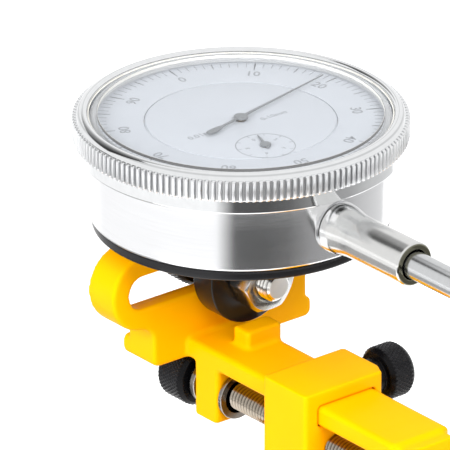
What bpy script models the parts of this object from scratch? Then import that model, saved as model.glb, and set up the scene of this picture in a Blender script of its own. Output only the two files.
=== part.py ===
# Clamp-on wheel truing gauge: a dial indicator on a slotted bracket, whose rail slides through a
# carriage on a lead screw. The carriage's jaw clamps to a bicycle's fork leg or stay.
# Metres, +Z up. X runs along the rail and the dial's stem, Y across it along the bracket's slot.
# The origin is the middle of the carriage's V groove, where the leg or stay seats.

import math

import bmesh
import bpy
from mathutils import Vector

# Fits
SEAT = 0.0003              # gap kept between pieces that touch
RUN = 0.0003               # clearance round pieces that slide or turn
STOP_GAP = 0.0006          # what is left at the end of a stroke
PRESS = 0.0001             # gap round the ends that small parts are pushed on

# Carriage and its jaw
CARRIAGE_LENGTH = 0.0119   # along the rail
CARRIAGE_WALL_NEAR = 0.0028
CARRIAGE_WALL_FAR = 0.0023
CARRIAGE_ROOF = 0.0025
CARRIAGE_CORNER = 0.0010
CARRIAGE_CUT_LENGTH = 0.0024  # slanted cut on the far corner towards the wheel
CARRIAGE_CUT_DEPTH = 0.0012
JAW_THICK = 0.0075         # upper jaw, over the V groove's mouth
VEE_DEPTH = 0.0040
VEE_SLOPE = 30.0           # degrees, each flank to the horizontal
JAW_REACH = 0.0105         # open end of the jaw from the groove
JAW_CORNER = 0.0020
STAY_MAX = 0.0300          # largest tube that the jaw takes
SPINE_THICK = 0.0060
ARM_THICK = 0.0080
ARM_DROP = 0.0360          # top of the lower arm under the groove
STROKE_BACK = 0.0140       # travel of the rail towards the plate
STROKE_FORWARD = 0.0135

# Rail, legs and post
RAIL_WIDTH = 0.0130
RAIL_THICK = 0.0038
RAIL_EDGE = 0.0006         # round on the rail's long edges
LEG_DROP = 0.0102          # height of a leg under the rail
LEG_CLEAR = 0.0012         # legs over the jaw
LEG_WIDTH = 0.0085
LEG_THICK = 0.0065
LEG_CORNER = 0.0008
LEG_SETBACK = 0.0020       # leg behind which the adjuster sits, from the plate's front
END_LEG_THICK = 0.0051
END_LEG_RECESS = 0.0010
TONGUE_LENGTH = 0.0030
TONGUE_INSET = 0.0009
TONGUE_DROP = 0.0006
POST_REACH = 0.0109        # front of the post, ahead of the plate
POST_HEIGHT = 0.0033       # over the rail
POST_NEAR = 0.0013         # its near side from the rail's middle
POST_CORNER = 0.0006
POST_GAP = 0.0008          # behind the post, to the lug

# Slotted plate and flange
PLATE_DEPTH = 0.0072
PLATE_HALF = 0.00735       # half height, and the radius of its round end
PLATE_LEFT = -0.0232       # round end, from the rail's middle
PLATE_LENGTH = 0.0444
PLATE_CORNER = 0.0020
WEB_HEIGHT = 0.00435       # between the plate and the flange's top
WEB_INSET = 0.0092         # web's end from the plate's round end
WEB_FILLET = 0.0030
FLANGE_DEPTH = 0.0091
FLANGE_LIP = 0.0012
FLANGE_CORNER = 0.0012
SLOT_WALL = 0.0038         # at the plate's round end
SLOT_WALL_FAR = 0.0044
SLOT_SKIN = 0.0025         # front wall of the slot, before the recess
MOUNT_REST_Y = 0.0038      # where the dial stands along the slot

# Lead screw
SCREW_DROP = 0.00535       # axis under the rail
SCREW_RADIUS = 0.00245
SCREW_TAIL = 0.0019        # past the end leg
CLIP_RADIUS = 0.0044
CLIP_THICK = 0.0009
CLIP_GROOVE = 0.0004       # depth of the clip's groove in the screw
CLIP_MOUTH = 0.0036
CLIP_RELIEF = 0.0007
CLIP_LIPS = (-90, -180, -270)  # degrees from the mouth
CLIP_LIP_HALF = 10
WASHER_RADIUS = 0.0042
WASHER_THICK = 0.0013
INSERT_WALL = 0.0011
INSERT_LENGTH = 0.0055

# Knurled knobs
KNOB_RADIUS = 0.0050
KNOB_LENGTH = 0.0056
KNOB_CHAMFER = 0.0008
KNOB_HUB_RADIUS = 0.0032
KNOB_CAP = 0.0010          # what closes the knob over the screw's end
ADJUSTER_KNOB_RADIUS = 0.0057
ADJUSTER_KNOB_LENGTH = 0.0070
ADJUSTER_HUB_LENGTH = 0.0006

# Lock screw through the carriage's far wall
LOCK_X = -0.0011           # from the carriage's middle
LOCK_TIP_RADIUS = 0.0022
LOCK_TIP_LENGTH = 0.0008
LOCK_HUB_LENGTH = 0.0023
LOCK_GAP = 0.0010          # hub to carriage, when tight

# Clamp screw through the lower arm
CLAMP_SCREW_RADIUS = 0.0029
CLAMP_INSERT_WALL = 0.0013
CLAMP_PAD_RADIUS = 0.0060
CLAMP_PAD_THICK = 0.0030
CLAMP_PAD_REST = 0.0260    # pad's face under the groove
CLAMP_UP = 0.0100
CLAMP_KNOB_RADIUS = 0.0080
CLAMP_KNOB_LENGTH = 0.0080
CLAMP_KNOB_GAP = 0.0008    # knob under the arm with the clamp closed

# Bolt that holds the dial's lug on the plate
BOLT_RADIUS = 0.0029
BOLT_TAIL = 0.0023         # past the nut
SLIDER_WASHER_RADIUS = 0.0052
SLIDER_WASHER_THICK = 0.0010
BOLT_HUB_RADIUS = 0.0048
BOLT_KNOB_RADIUS = 0.0070
BOLT_KNOB_LENGTH = 0.0065
NUT_FLATS = 0.0100
NUT_THICK = 0.0050

# Dial: back plate and lug
DIAL_GAP = 0.00225         # plate's top to the dial's back
BACK_INSET = 0.0005        # back inside the case
BACK_THICK = 0.0018
LUG_RADIUS = 0.0092
LUG_THICK = 0.0054
LUG_SETBACK = 0.0022       # lug's back face behind the dial's axis

# Dial: case and stem
CASE_RADIUS = 0.0271
CASE_WALL = 0.0025
CASE_TOP = 0.0136          # heights over the dial's back
RIM_WALL = 0.0014
RIM_TOP = 0.0179
BOSS_RADIUS = 0.0021
BOSS_TOP = 0.0080
BACK_SCREW_RADIUS = 0.0008
BACK_SCREW_HEAD = 0.0015
STEM_HEIGHT = 0.0080
STEM_RADIUS = 0.0040
STEM_LENGTH = 0.0206
STEM_ROOT_RADIUS = 0.0046
STEM_ROOT_LENGTH = 0.0030
STEM_CHAMFER = 0.0006
CAP_RADIUS = 0.0034
CAP_LENGTH = 0.0050
CAP_END = 0.0012

# Dial: bezel, crystal and scales
BEZEL_OVERHANG = 0.0020    # plain band past the case
BEZEL_RIB_STEP = 0.0009    # ribs past the band
BEZEL_KNURL_DEPTH = 0.0005
BEZEL_RIBS = 156
BEZEL_BAND_TOP = 0.0165
BEZEL_KNURL_TOP = 0.0204
BEZEL_TOP = 0.0214
BEZEL_LEDGE = 0.0183
BEZEL_WALL = 0.0019        # round the crystal and the scale
FACE_THICK = 0.0006
SCALE_WIDTH = 0.0103       # turning scale round the fixed inner face
CRYSTAL_THICK = 0.0007
CRYSTAL_SKIRT = 0.0013
CRYSTAL_BEVEL = 0.0009
CRYSTAL_TOP = 0.0211

# Dial: spindle
SPINDLE_RADIUS = 0.0025
SPINDLE_REACH = 0.0660     # front end from the dial's axis
SPINDLE_TAIL = 0.0200      # back end behind the dial's axis
SPINDLE_STROKE = 0.0100
TIP_RADIUS = 0.0021
TIP_LENGTH = 0.0050
TIP_BALL = 0.0016
TIP_STEPS = (-30, 0, 30, 60)  # degrees, along the ball's profile
PIN_RADIUS = 0.0005
PIN_REACH = 0.0070
PIN_BACK = 0.0060          # spring pin behind the dial's axis

# Movement: a rack turns the count arbor, whose wheel turns the pointer's pinion
RACK_PITCH = 0.000625
RACK_PINION_TEETH = 16
RACK_TEETH = 20
RACK_LEAD = 2              # teeth behind the count arbor at rest
RACK_ADDENDUM = 0.8        # in modules, like the next ones
RACK_DEDENDUM = 1.3
RACK_SLACK = 0.00008       # play between flanks
WHEEL_TEETH = 100
PINION_TEETH = 10
WHEEL_ADDENDUM = 0.85
PINION_ADDENDUM = 0.7
GEAR_DEDENDUM = 1.3
GEAR_SLACK = 0.00008
PRESSURE_ANGLE = 20.0
TIP_LAND = 0.12            # least half width of a tooth's crest, in modules
RACK_INSET = 0.0003        # pitch line in the spindle's side
COUNT_SHARE = 0.4923       # count arbor from the axis, in radii of the case's inside
WHEEL_LOW = 0.0120
WHEEL_THICK = 0.0008
ARBOR_RADIUS = 0.0006
PIVOT_RADIUS = 0.0004
MOVEMENT_THICK = 0.0010
TOP_PLATE_INSET = 0.0045   # inside the base
TOP_PLATE_LOW = 0.0142
BRIDGE_THICK = 0.0006
BRIDGE_WIDTH = 0.0064
PILLAR_INSET = 0.0023      # in from the top plate's edge
PILLAR_RADIUS = 0.0015
PILLAR_NECK = 0.0011       # over the bridge
PILLAR_ANGLES = (90.0, 40.0, 270.0, 220.0)
BRIDGE_PILLARS = (90.0, 270.0)
BACK_SCREW_ANGLES = (50.0, 135.0, 225.0, 310.0)
BACK_SCREW_INSET = 0.0038  # in from the back's edge

# Pointers
POINTER_GAP = 0.0032       # end of the pointer from the bezel
POINTER_TAIL = 0.0095
POINTER_WIDTH = 0.0006
POINTER_TAIL_WIDTH = 0.0013
POINTER_THICK = 0.0002
POINTER_HUB = 0.0013
POINTER_LIFT = 0.00055     # hand over the face
POINTER_ANGLE = 77.0       # degrees clockwise from the scale's far side
COUNT_POINTER_LENGTH = 0.0042
COUNT_POINTER_TAIL = 0.0016
COUNT_HUB = 0.0010
COUNT_POINTER_LIFT = 0.0002
HUB_CROWN = 0.0001         # hub over the hand
HUB_SKIRT = 0.0001         # and under it
HUB_CAP = 0.0001           # what closes the hub over the arbor
COUNT_POINTER_ANGLE = 20.0

# Springs in the movement
SPRING_RADIUS = 0.0013
SPRING_WIRE = 0.00025
SPRING_TURNS = 11
SPRING_STEPS = 7           # points in a turn
SPRING_SIDES = 3
SPRING_POST_RADIUS = 0.0008
HAIR_STEPS = 14            # points in a turn
HAIR_TURNS = 3
HAIR_INNER = 0.0016
HAIR_OUTER = 0.0048
HAIR_WIDTH = 0.00016
HAIR_HEIGHT = 0.0005

# Smoothness of round pieces
ROUND_LARGE = 48
ROUND_MEDIUM = 20
ROUND_SMALL = 8
ROUND_END = 12             # steps in a half round
CORNER_STEPS = 3

# Places worked out from the sizes above
JAW_TOP = JAW_THICK - VEE_DEPTH
LEG_BOTTOM = JAW_TOP + LEG_CLEAR
RAIL_BOTTOM = LEG_BOTTOM + LEG_DROP
RAIL_TOP = RAIL_BOTTOM + RAIL_THICK
CARRIAGE_TOP = RAIL_TOP + RUN + CARRIAGE_ROOF
CARRIAGE_NEAR = -RAIL_WIDTH / 2 - RUN - CARRIAGE_WALL_NEAR
CARRIAGE_FAR = RAIL_WIDTH / 2 + RUN + CARRIAGE_WALL_FAR
END_LEG_BACK = CARRIAGE_LENGTH / 2 + STROKE_BACK + STOP_GAP
RAIL_FRONT = END_LEG_BACK + END_LEG_THICK
POST_FRONT = -CARRIAGE_LENGTH / 2 - STROKE_FORWARD - STOP_GAP
PLATE_FRONT = POST_FRONT - POST_REACH
PLATE_BACK = PLATE_FRONT - PLATE_DEPTH
FLANGE_BACK = PLATE_FRONT - FLANGE_DEPTH
LEG_BACK = PLATE_FRONT + LEG_SETBACK
LEG_FRONT = LEG_BACK + LEG_THICK
SCREW_Y = -RAIL_WIDTH / 2 + LEG_WIDTH / 2
SCREW_Z = RAIL_BOTTOM - SCREW_DROP
BOLT_Z = RAIL_TOP + WEB_HEIGHT + PLATE_HALF
SLOT_HALF = BOLT_RADIUS + RUN
SLOT_START = PLATE_LEFT + SLOT_WALL + SLOT_HALF
SLOT_END = PLATE_LEFT + PLATE_LENGTH - SLOT_WALL_FAR - SLOT_HALF
RECESS_HALF = SLIDER_WASHER_RADIUS + RUN
DIAL_X = PLATE_FRONT + SEAT + LUG_SETBACK
DIAL_Z = BOLT_Z + PLATE_HALF + DIAL_GAP
LUG_FRONT = DIAL_X - LUG_SETBACK + LUG_THICK
LUG_DROP = DIAL_Z - BOLT_Z
CLAMP_ARM_BOTTOM = -ARM_DROP - ARM_THICK

CASE_INNER = CASE_RADIUS - CASE_WALL
BACK_RADIUS = CASE_RADIUS - BACK_INSET
BACK_SCREW_RING = BACK_RADIUS - BACK_SCREW_INSET
BEZEL_BAND_RADIUS = CASE_RADIUS + BEZEL_OVERHANG
BEZEL_KNURL_RADIUS = BEZEL_BAND_RADIUS + BEZEL_RIB_STEP
BEZEL_BORE = BEZEL_BAND_RADIUS - BEZEL_WALL
FACE_RADIUS = BEZEL_BORE - SCALE_WIDTH
POINTER_LENGTH = BEZEL_BORE - POINTER_GAP
MOVEMENT_RADIUS = CASE_INNER - SEAT
TOP_PLATE_RADIUS = MOVEMENT_RADIUS - TOP_PLATE_INSET
PILLAR_RING = TOP_PLATE_RADIUS - PILLAR_INSET

RACK_MODULE = RACK_PITCH / math.pi
RACK_PINION_RADIUS = RACK_MODULE * RACK_PINION_TEETH / 2
RACK_PITCH_LINE = RACK_INSET - SPINDLE_RADIUS
COUNT_DISTANCE = COUNT_SHARE * CASE_INNER
COUNT_Y = RACK_PITCH_LINE - RACK_PINION_RADIUS
COUNT_X = math.sqrt(COUNT_DISTANCE ** 2 - COUNT_Y ** 2)
WHEEL_MODULE = 2 * COUNT_DISTANCE / (WHEEL_TEETH + PINION_TEETH)
FACE_LOW = BEZEL_LEDGE + SEAT
FACE_TOP = FACE_LOW + FACE_THICK
POINTER_LOW = FACE_TOP + POINTER_LIFT
COUNT_POINTER_LOW = FACE_TOP + COUNT_POINTER_LIFT
HUB_BORE_TOP = POINTER_THICK + HUB_CROWN - HUB_CAP
BASE_LOW = BACK_THICK + SEAT
BASE_TOP = BASE_LOW + MOVEMENT_THICK
BRIDGE_LOW = STEM_HEIGHT + SPINDLE_RADIUS + RUN
SPRING_START = PIN_RADIUS + SEAT + SPRING_WIRE - PIN_BACK
SPRING_PITCH = 3 * SPRING_WIRE
SPRING_END = SPRING_START + SPRING_TURNS * SPRING_PITCH + SPRING_WIRE
SPRING_Y = PIN_RADIUS + SPRING_WIRE - PIN_REACH

FINISHES = {
    "yellow_plastic": ((1.0, 0.68, 0.0), 0.38, 0.0),
    "black_plastic": ((0.02, 0.02, 0.022), 0.45, 0.0),
    "rubber": ((0.03, 0.03, 0.03), 0.8, 0.0),
    "nylon": ((0.85, 0.84, 0.8), 0.5, 0.0),
    "steel": ((0.62, 0.61, 0.6), 0.25, 1.0),
    "chrome": ((0.8, 0.8, 0.82), 0.12, 1.0),
    "brass": ((0.72, 0.52, 0.2), 0.3, 1.0),
    "black_paint": ((0.015, 0.015, 0.016), 0.35, 0.0),
    "face": ((0.86, 0.88, 0.9), 0.4, 0.0),
    "crystal": ((0.95, 0.96, 0.97), 0.05, 0.0),
    "pointer": ((0.02, 0.02, 0.02), 0.4, 0.0),
}

QUARTER = math.pi / 2
SHARP_ANGLE = 35                           # degrees, for shading
ALONG_X = (0.0, QUARTER, 0.0)              # local Z to +X
ALONG_BACK = (0.0, -QUARTER, 0.0)          # local Z to -X
ALONG_Y = (-QUARTER, 0.0, 0.0)             # local Z to +Y
ACROSS = (QUARTER, 0.0, 0.0)               # local Z to -Y
DOWNWARD = (math.pi, 0.0, 0.0)             # local Z to -Z
SIDE_PROFILE = (QUARTER, 0.0, QUARTER)     # local X, Y, Z to +Y, +Z, +X
FRONT_PROFILE = (QUARTER, 0.0, 0.0)        # local X, Y, Z to +X, +Z, -Y


# Outlines

def arc(cx, cy, radius, start, end, steps):
    points = []
    for step in range(steps + 1):
        angle = math.radians(start + (end - start) * step / steps)
        points.append((cx + radius * math.cos(angle), cy + radius * math.sin(angle)))
    return points


def rounded_box(x0, y0, x1, y1, radius, steps=CORNER_STEPS):
    return (arc(x1 - radius, y0 + radius, radius, -90, 0, steps)
            + arc(x1 - radius, y1 - radius, radius, 0, 90, steps)
            + arc(x0 + radius, y1 - radius, radius, 90, 180, steps)
            + arc(x0 + radius, y0 + radius, radius, 180, 270, steps))


def stadium(x0, x1, y, radius, steps=ROUND_END):
    return arc(x1, y, radius, -90, 90, steps) + arc(x0, y, radius, 90, 270, steps)


def circle(radius, count, cx=0.0, cy=0.0):
    return arc(cx, cy, radius, 0, 360, count)[:-1]


def gear_outline(teeth, module, addendum, dedendum, slack, phase=0.0):
    # Straight flanks that meet in the roots, with some slack for running.
    pitch = teeth * module / 2
    tip = pitch + addendum * module
    root = pitch - dedendum * module
    narrowing = addendum * module * math.tan(math.radians(PRESSURE_ANGLE))
    crest = math.pi * module / 4 - slack / 2 - narrowing
    half = max(crest, TIP_LAND * module) / tip
    points = []
    for tooth in range(teeth):
        middle = 2 * math.pi * tooth / teeth + phase
        for radius, turn in ((root, -math.pi / teeth), (tip, -half), (tip, half)):
            angle = middle + turn
            points.append((radius * math.cos(angle), radius * math.sin(angle)))
    return points


# Meshes

def ring(outline, height):
    return [Vector((x, y, height)) for x, y in outline]


def stitch(mesh, low, high):
    # Joins two closed rings of points, going round both at the same rate.
    count_low = len(low)
    count_high = len(high)
    if count_low == 1 and count_high == 1:
        return
    i = 0
    j = 0
    while i < count_low or j < count_high:
        a = low[i % count_low]
        b = high[j % count_high]
        next_low = (i + 1) * count_high
        next_high = (j + 1) * count_low
        if count_low == 1:
            mesh.faces.new((a, high[(j + 1) % count_high], b))
            j += 1
            if j == count_high:
                break
        elif count_high == 1:
            mesh.faces.new((a, low[(i + 1) % count_low], b))
            i += 1
            if i == count_low:
                break
        elif next_low == next_high:
            mesh.faces.new((a, low[(i + 1) % count_low], high[(j + 1) % count_high], b))
            i += 1
            j += 1
        elif next_low < next_high:
            mesh.faces.new((a, low[(i + 1) % count_low], b))
            i += 1
        else:
            mesh.faces.new((a, high[(j + 1) % count_high], b))
            j += 1


def skin(rings, closed=False):
    # A surface through rings of points. It ends in single points, or closes on itself.
    mesh = bmesh.new()
    loops = []
    for points in rings:
        loops.append([mesh.verts.new(point) for point in points])
    for low, high in zip(loops, loops[1:]):
        stitch(mesh, low, high)
    if closed:
        stitch(mesh, loops[-1], loops[0])
    bmesh.ops.recalc_face_normals(mesh, faces=mesh.faces)
    return mesh


def turned(profile, count, closed=False):
    # Profile of (radius, height), up the outer side and down the inner one.
    rings = []
    for radius, height in profile:
        if radius == 0:
            rings.append([Vector((0, 0, height))])
        else:
            rings.append(ring(circle(radius, count), height))
    return skin(rings, closed)


def rod(radius, low, high, count, chamfer=0.0):
    profile = [(0, low)]
    if chamfer:
        profile += [(radius - chamfer, low), (radius, low + chamfer)]
        profile += [(radius, high - chamfer), (radius - chamfer, high)]
    else:
        profile += [(radius, low), (radius, high)]
    profile.append((0, high))
    return turned(profile, count)


def tube(inner, outer, low, high, count):
    return turned([(outer, low), (outer, high), (inner, high), (inner, low)], count, closed=True)


def blind_cap(bore, bore_depth, outer_profile, count):
    # A turned piece with a blind hole from its lower end.
    top = max(height for radius, height in outer_profile)
    profile = [(0, bore_depth), (bore, bore_depth), (bore, 0)] + outer_profile + [(0, top)]
    return turned(profile, count)


def prism(outline, depth, holes=()):
    mesh = bmesh.new()
    edges = []
    for points in (outline, *holes):
        loop = [mesh.verts.new((x, y, 0)) for x, y in points]
        for index, vert in enumerate(loop):
            edges.append(mesh.edges.new((vert, loop[(index + 1) % len(loop)])))
    if holes:
        bmesh.ops.triangle_fill(mesh, use_beauty=True, edges=edges)
    else:
        bmesh.ops.contextual_create(mesh, geom=edges)
    grown = bmesh.ops.extrude_face_region(mesh, geom=mesh.faces[:])
    moved = [item for item in grown["geom"] if isinstance(item, bmesh.types.BMVert)]
    bmesh.ops.translate(mesh, verts=moved, vec=(0, 0, depth))
    bmesh.ops.recalc_face_normals(mesh, faces=mesh.faces)
    return mesh


def coil(radius, wire, pitch, turns, per_turn, sides):
    # A helical wire whose ends are closed flat.
    rings = []
    last = turns * per_turn
    for step in range(last + 1):
        angle = 2 * math.pi * step / per_turn
        out = Vector((math.cos(angle), math.sin(angle), 0))
        middle = out * radius + Vector((0, 0, pitch * step / per_turn))
        section = []
        for side in range(sides):
            turn = 2 * math.pi * side / sides
            section.append(middle + wire * (math.cos(turn) * out + Vector((0, 0, math.sin(turn)))))
        if step == 0:
            rings.append([middle])
        rings.append(section)
        if step == last:
            rings.append([middle])
    return skin(rings)


# Objects

def remove_everything():
    for item in list(bpy.data.objects):
        bpy.data.objects.remove(item, do_unlink=True)


def pivot(name, place, parent=None):
    empty = bpy.data.objects.new(name, None)
    empty.location = place
    empty.parent = parent
    bpy.context.scene.collection.objects.link(empty)
    return empty


def solid(name, mesh, parent, place=(0, 0, 0), turn=(0, 0, 0)):
    data = bpy.data.meshes.new(name)
    mesh.to_mesh(data)
    mesh.free()
    piece = bpy.data.objects.new(name, data)
    piece.location = place
    piece.rotation_euler = turn
    piece.parent = parent
    bpy.context.scene.collection.objects.link(piece)
    return piece


def paint(piece, finish):
    colour, roughness, metallic = FINISHES[finish]
    material = bpy.data.materials.new(piece.name + "_" + finish)
    material.use_nodes = True
    shader = material.node_tree.nodes["Principled BSDF"]
    shader.inputs["Base Color"].default_value = (*colour, 1)
    shader.inputs["Roughness"].default_value = roughness
    shader.inputs["Metallic"].default_value = metallic
    piece.data.materials.append(material)
    piece.data.shade_smooth()
    piece.data.set_sharp_from_angle(angle=math.radians(SHARP_ANGLE))
    return piece


def combine(piece, tool, operation):
    tool.hide_render = True
    tool.display_type = "WIRE"
    change = piece.modifiers.new(operation.lower(), "BOOLEAN")
    change.operation = operation
    change.solver = "EXACT"
    change.object = tool
    return piece


def join(piece, tool):
    return combine(piece, tool, "UNION")


def cut(piece, tool):
    return combine(piece, tool, "DIFFERENCE")


# Knobs: a knurled head with a hub on the side of the screw

def knob(name, parent, place, turn, screw_radius, depth, radius, length, hub_radius, hub_length):
    total = hub_length + length
    bore = screw_radius + SEAT
    outer = [(hub_radius, 0),
             (hub_radius, hub_length),
             (radius - KNOB_CHAMFER, hub_length),
             (radius, hub_length + KNOB_CHAMFER),
             (radius, total - KNOB_CHAMFER),
             (radius - KNOB_CHAMFER, total)]
    mesh = blind_cap(bore, depth + SEAT, outer, ROUND_MEDIUM)
    return paint(solid(name, mesh, parent, place, turn), "black_plastic")


# Carriage: a sleeve round the rail, with a C-shaped jaw under it

def jaw_outline():
    slope = math.tan(math.radians(VEE_SLOPE))
    mouth = VEE_DEPTH / slope
    inner = STAY_MAX / 2
    outer = inner + SPINE_THICK
    mouth_z = -VEE_DEPTH
    corner = JAW_CORNER
    points = [(-JAW_REACH, mouth_z), (-mouth, mouth_z), (0, 0), (mouth, mouth_z)]
    points += arc(inner - corner, mouth_z - corner, corner, 90, 0, CORNER_STEPS)
    points += arc(inner - corner, -ARM_DROP + corner, corner, 0, -90, CORNER_STEPS)
    points += arc(-JAW_REACH + corner, -ARM_DROP - corner, corner, 90, 180, CORNER_STEPS)
    points += arc(-JAW_REACH + corner, CLAMP_ARM_BOTTOM + corner, corner, 180, 270, CORNER_STEPS)
    points += arc(outer - corner, CLAMP_ARM_BOTTOM + corner, corner, -90, 0, CORNER_STEPS)
    points += arc(outer - corner, JAW_TOP - corner, corner, 0, 90, CORNER_STEPS)
    points += arc(-JAW_REACH + corner, JAW_TOP - corner, corner, 90, 180, CORNER_STEPS)
    return points


def carriage_plan():
    half = CARRIAGE_LENGTH / 2
    corner = CARRIAGE_CORNER
    points = arc(half - corner, CARRIAGE_NEAR + corner, corner, -90, 0, CORNER_STEPS)
    points += [(half, CARRIAGE_FAR - CARRIAGE_CUT_DEPTH), (half - CARRIAGE_CUT_LENGTH, CARRIAGE_FAR)]
    points += arc(-half + corner, CARRIAGE_FAR - corner, corner, 90, 180, CORNER_STEPS)
    points += arc(-half + corner, CARRIAGE_NEAR + corner, corner, 180, 270, CORNER_STEPS)
    return points


def make_carriage(root):
    half = CARRIAGE_LENGTH / 2
    width = CARRIAGE_FAR - CARRIAGE_NEAR
    jaw = prism(jaw_outline(), width)
    piece = solid("carriage_block", jaw, root, (0, CARRIAGE_FAR, 0), FRONT_PROFILE)
    overlap = JAW_THICK / 3
    height = CARRIAGE_TOP - JAW_TOP + overlap
    column = solid("column", prism(carriage_plan(), height), root, (0, 0, JAW_TOP - overlap))
    join(piece, column)

    window = rounded_box(-RAIL_WIDTH / 2 - RUN, RAIL_BOTTOM - RUN,
                         RAIL_WIDTH / 2 + RUN, RAIL_TOP + RUN, RAIL_EDGE)
    length = CARRIAGE_LENGTH + 2 * STOP_GAP
    start = -length / 2
    cut(piece, solid("rail_way", prism(window, length), root, (start, 0, 0), SIDE_PROFILE))
    bore = rod(SCREW_RADIUS + RUN, start, -start, ROUND_MEDIUM)
    cut(piece, solid("screw_way", bore, root, (0, SCREW_Y, SCREW_Z), ALONG_X))
    bore = SCREW_RADIUS + RUN + INSERT_WALL + SEAT
    pocket = rod(bore, start, INSERT_LENGTH + SEAT - half, ROUND_MEDIUM)
    cut(piece, solid("insert_pocket", pocket, root, (0, SCREW_Y, SCREW_Z), ALONG_X))
    lock = rod(SCREW_RADIUS + RUN, RAIL_WIDTH / 2, CARRIAGE_FAR + STOP_GAP, ROUND_MEDIUM)
    cut(piece, solid("lock_way", lock, root, (LOCK_X, 0, RAIL_TOP - RAIL_THICK / 2), ALONG_Y))
    bore = CLAMP_SCREW_RADIUS + RUN + CLAMP_INSERT_WALL + SEAT
    clamp = rod(bore, CLAMP_ARM_BOTTOM - STOP_GAP, -ARM_DROP + STOP_GAP, ROUND_MEDIUM)
    cut(piece, solid("clamp_way", clamp, root))
    return paint(piece, "yellow_plastic")


def make_inserts(root):
    bore = SCREW_RADIUS + RUN
    sleeve = tube(bore, bore + INSERT_WALL, 0, INSERT_LENGTH, ROUND_MEDIUM)
    place = (-CARRIAGE_LENGTH / 2, SCREW_Y, SCREW_Z)
    paint(solid("lead_nut", sleeve, root, place, ALONG_X), "brass")
    bore = CLAMP_SCREW_RADIUS + RUN
    sleeve = tube(bore, bore + CLAMP_INSERT_WALL, CLAMP_ARM_BOTTOM, -ARM_DROP, ROUND_MEDIUM)
    paint(solid("clamp_nut", sleeve, root), "brass")


# Bracket: the slotted plate, its flange, the rail and its legs are one moulding

def plate_outline():
    left = PLATE_LEFT + PLATE_HALF
    right = PLATE_LEFT + PLATE_LENGTH
    web = PLATE_LEFT + WEB_INSET
    foot = RAIL_TOP - RAIL_THICK / 2
    reach = PLATE_HALF + WEB_FILLET
    across = left - (web - WEB_FILLET)
    drop = math.sqrt(reach ** 2 - across ** 2)
    centre = (web - WEB_FILLET, BOLT_Z - drop)
    tangent = math.degrees(math.atan2(drop, across))
    top = BOLT_Z + PLATE_HALF
    points = arc(right - PLATE_CORNER, top - PLATE_CORNER, PLATE_CORNER, 0, 90, CORNER_STEPS)
    points += arc(left, BOLT_Z, PLATE_HALF, 90, 180 + tangent, 2 * ROUND_END)
    points += arc(centre[0], centre[1], WEB_FILLET, tangent, 0, CORNER_STEPS)
    points += [(web, foot), (right, foot)]
    return points


def make_bracket(rail):
    half = RAIL_WIDTH / 2
    bar = rounded_box(-half, RAIL_BOTTOM, half, RAIL_TOP, RAIL_EDGE, 2)
    length = RAIL_FRONT - FLANGE_BACK
    piece = solid("rail_bracket", prism(bar, length), rail, (FLANGE_BACK, 0, 0), SIDE_PROFILE)

    flange_left = PLATE_LEFT + WEB_INSET
    flange_right = PLATE_LEFT + PLATE_LENGTH + FLANGE_LIP
    flange = rounded_box(flange_left, RAIL_BOTTOM, flange_right, RAIL_TOP, FLANGE_CORNER)
    join(piece, solid("flange", prism(flange, FLANGE_DEPTH), rail, (FLANGE_BACK, 0, 0), SIDE_PROFILE))
    plate = prism(plate_outline(), PLATE_DEPTH)
    join(piece, solid("plate", plate, rail, (PLATE_BACK, 0, 0), SIDE_PROFILE))

    sunk = RAIL_THICK / 2
    post = rounded_box(LUG_FRONT + POST_GAP, -POST_NEAR, POST_FRONT, half, POST_CORNER)
    join(piece, solid("post", prism(post, POST_HEIGHT + sunk), rail, (0, 0, RAIL_TOP - sunk)))
    height = LEG_DROP + sunk
    leg = rounded_box(LEG_BACK, -half, LEG_FRONT, -half + LEG_WIDTH, LEG_CORNER)
    join(piece, solid("leg", prism(leg, height), rail, (0, 0, LEG_BOTTOM)))
    end_leg = rounded_box(END_LEG_BACK, -half + END_LEG_RECESS, RAIL_FRONT,
                          -half + LEG_WIDTH - END_LEG_RECESS, LEG_CORNER)
    join(piece, solid("end_leg", prism(end_leg, height), rail, (0, 0, LEG_BOTTOM)))
    tongue = rounded_box(-half + TONGUE_INSET, RAIL_BOTTOM + TONGUE_DROP / 2, half - TONGUE_INSET,
                         RAIL_TOP - TONGUE_DROP, RAIL_EDGE, 2)
    join(piece, solid("tongue", prism(tongue, TONGUE_LENGTH + sunk), rail, (RAIL_FRONT - sunk, 0, 0),
                      SIDE_PROFILE))

    slot = prism(stadium(SLOT_START, SLOT_END, BOLT_Z, SLOT_HALF), PLATE_DEPTH + 2 * STOP_GAP)
    cut(piece, solid("slot", slot, rail, (PLATE_BACK - STOP_GAP, 0, 0), SIDE_PROFILE))
    recess = prism(stadium(SLOT_START, SLOT_END, BOLT_Z, RECESS_HALF), PLATE_DEPTH - SLOT_SKIN + STOP_GAP)
    cut(piece, solid("recess", recess, rail, (PLATE_BACK - STOP_GAP, 0, 0), SIDE_PROFILE))
    bore = rod(SCREW_RADIUS + RUN, LEG_BACK - STOP_GAP, RAIL_FRONT + STOP_GAP, ROUND_MEDIUM)
    cut(piece, solid("leg_bore", bore, rail, (0, SCREW_Y, SCREW_Z), ALONG_X))
    room = rod(ADJUSTER_KNOB_RADIUS + RUN, FLANGE_BACK - STOP_GAP, LEG_BACK, ROUND_MEDIUM)
    cut(piece, solid("knob_room", room, rail, (0, SCREW_Y, SCREW_Z), ALONG_X))
    return paint(piece, "yellow_plastic")


# Lead screw, turned by a knob behind the first leg and held there by a clip

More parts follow.
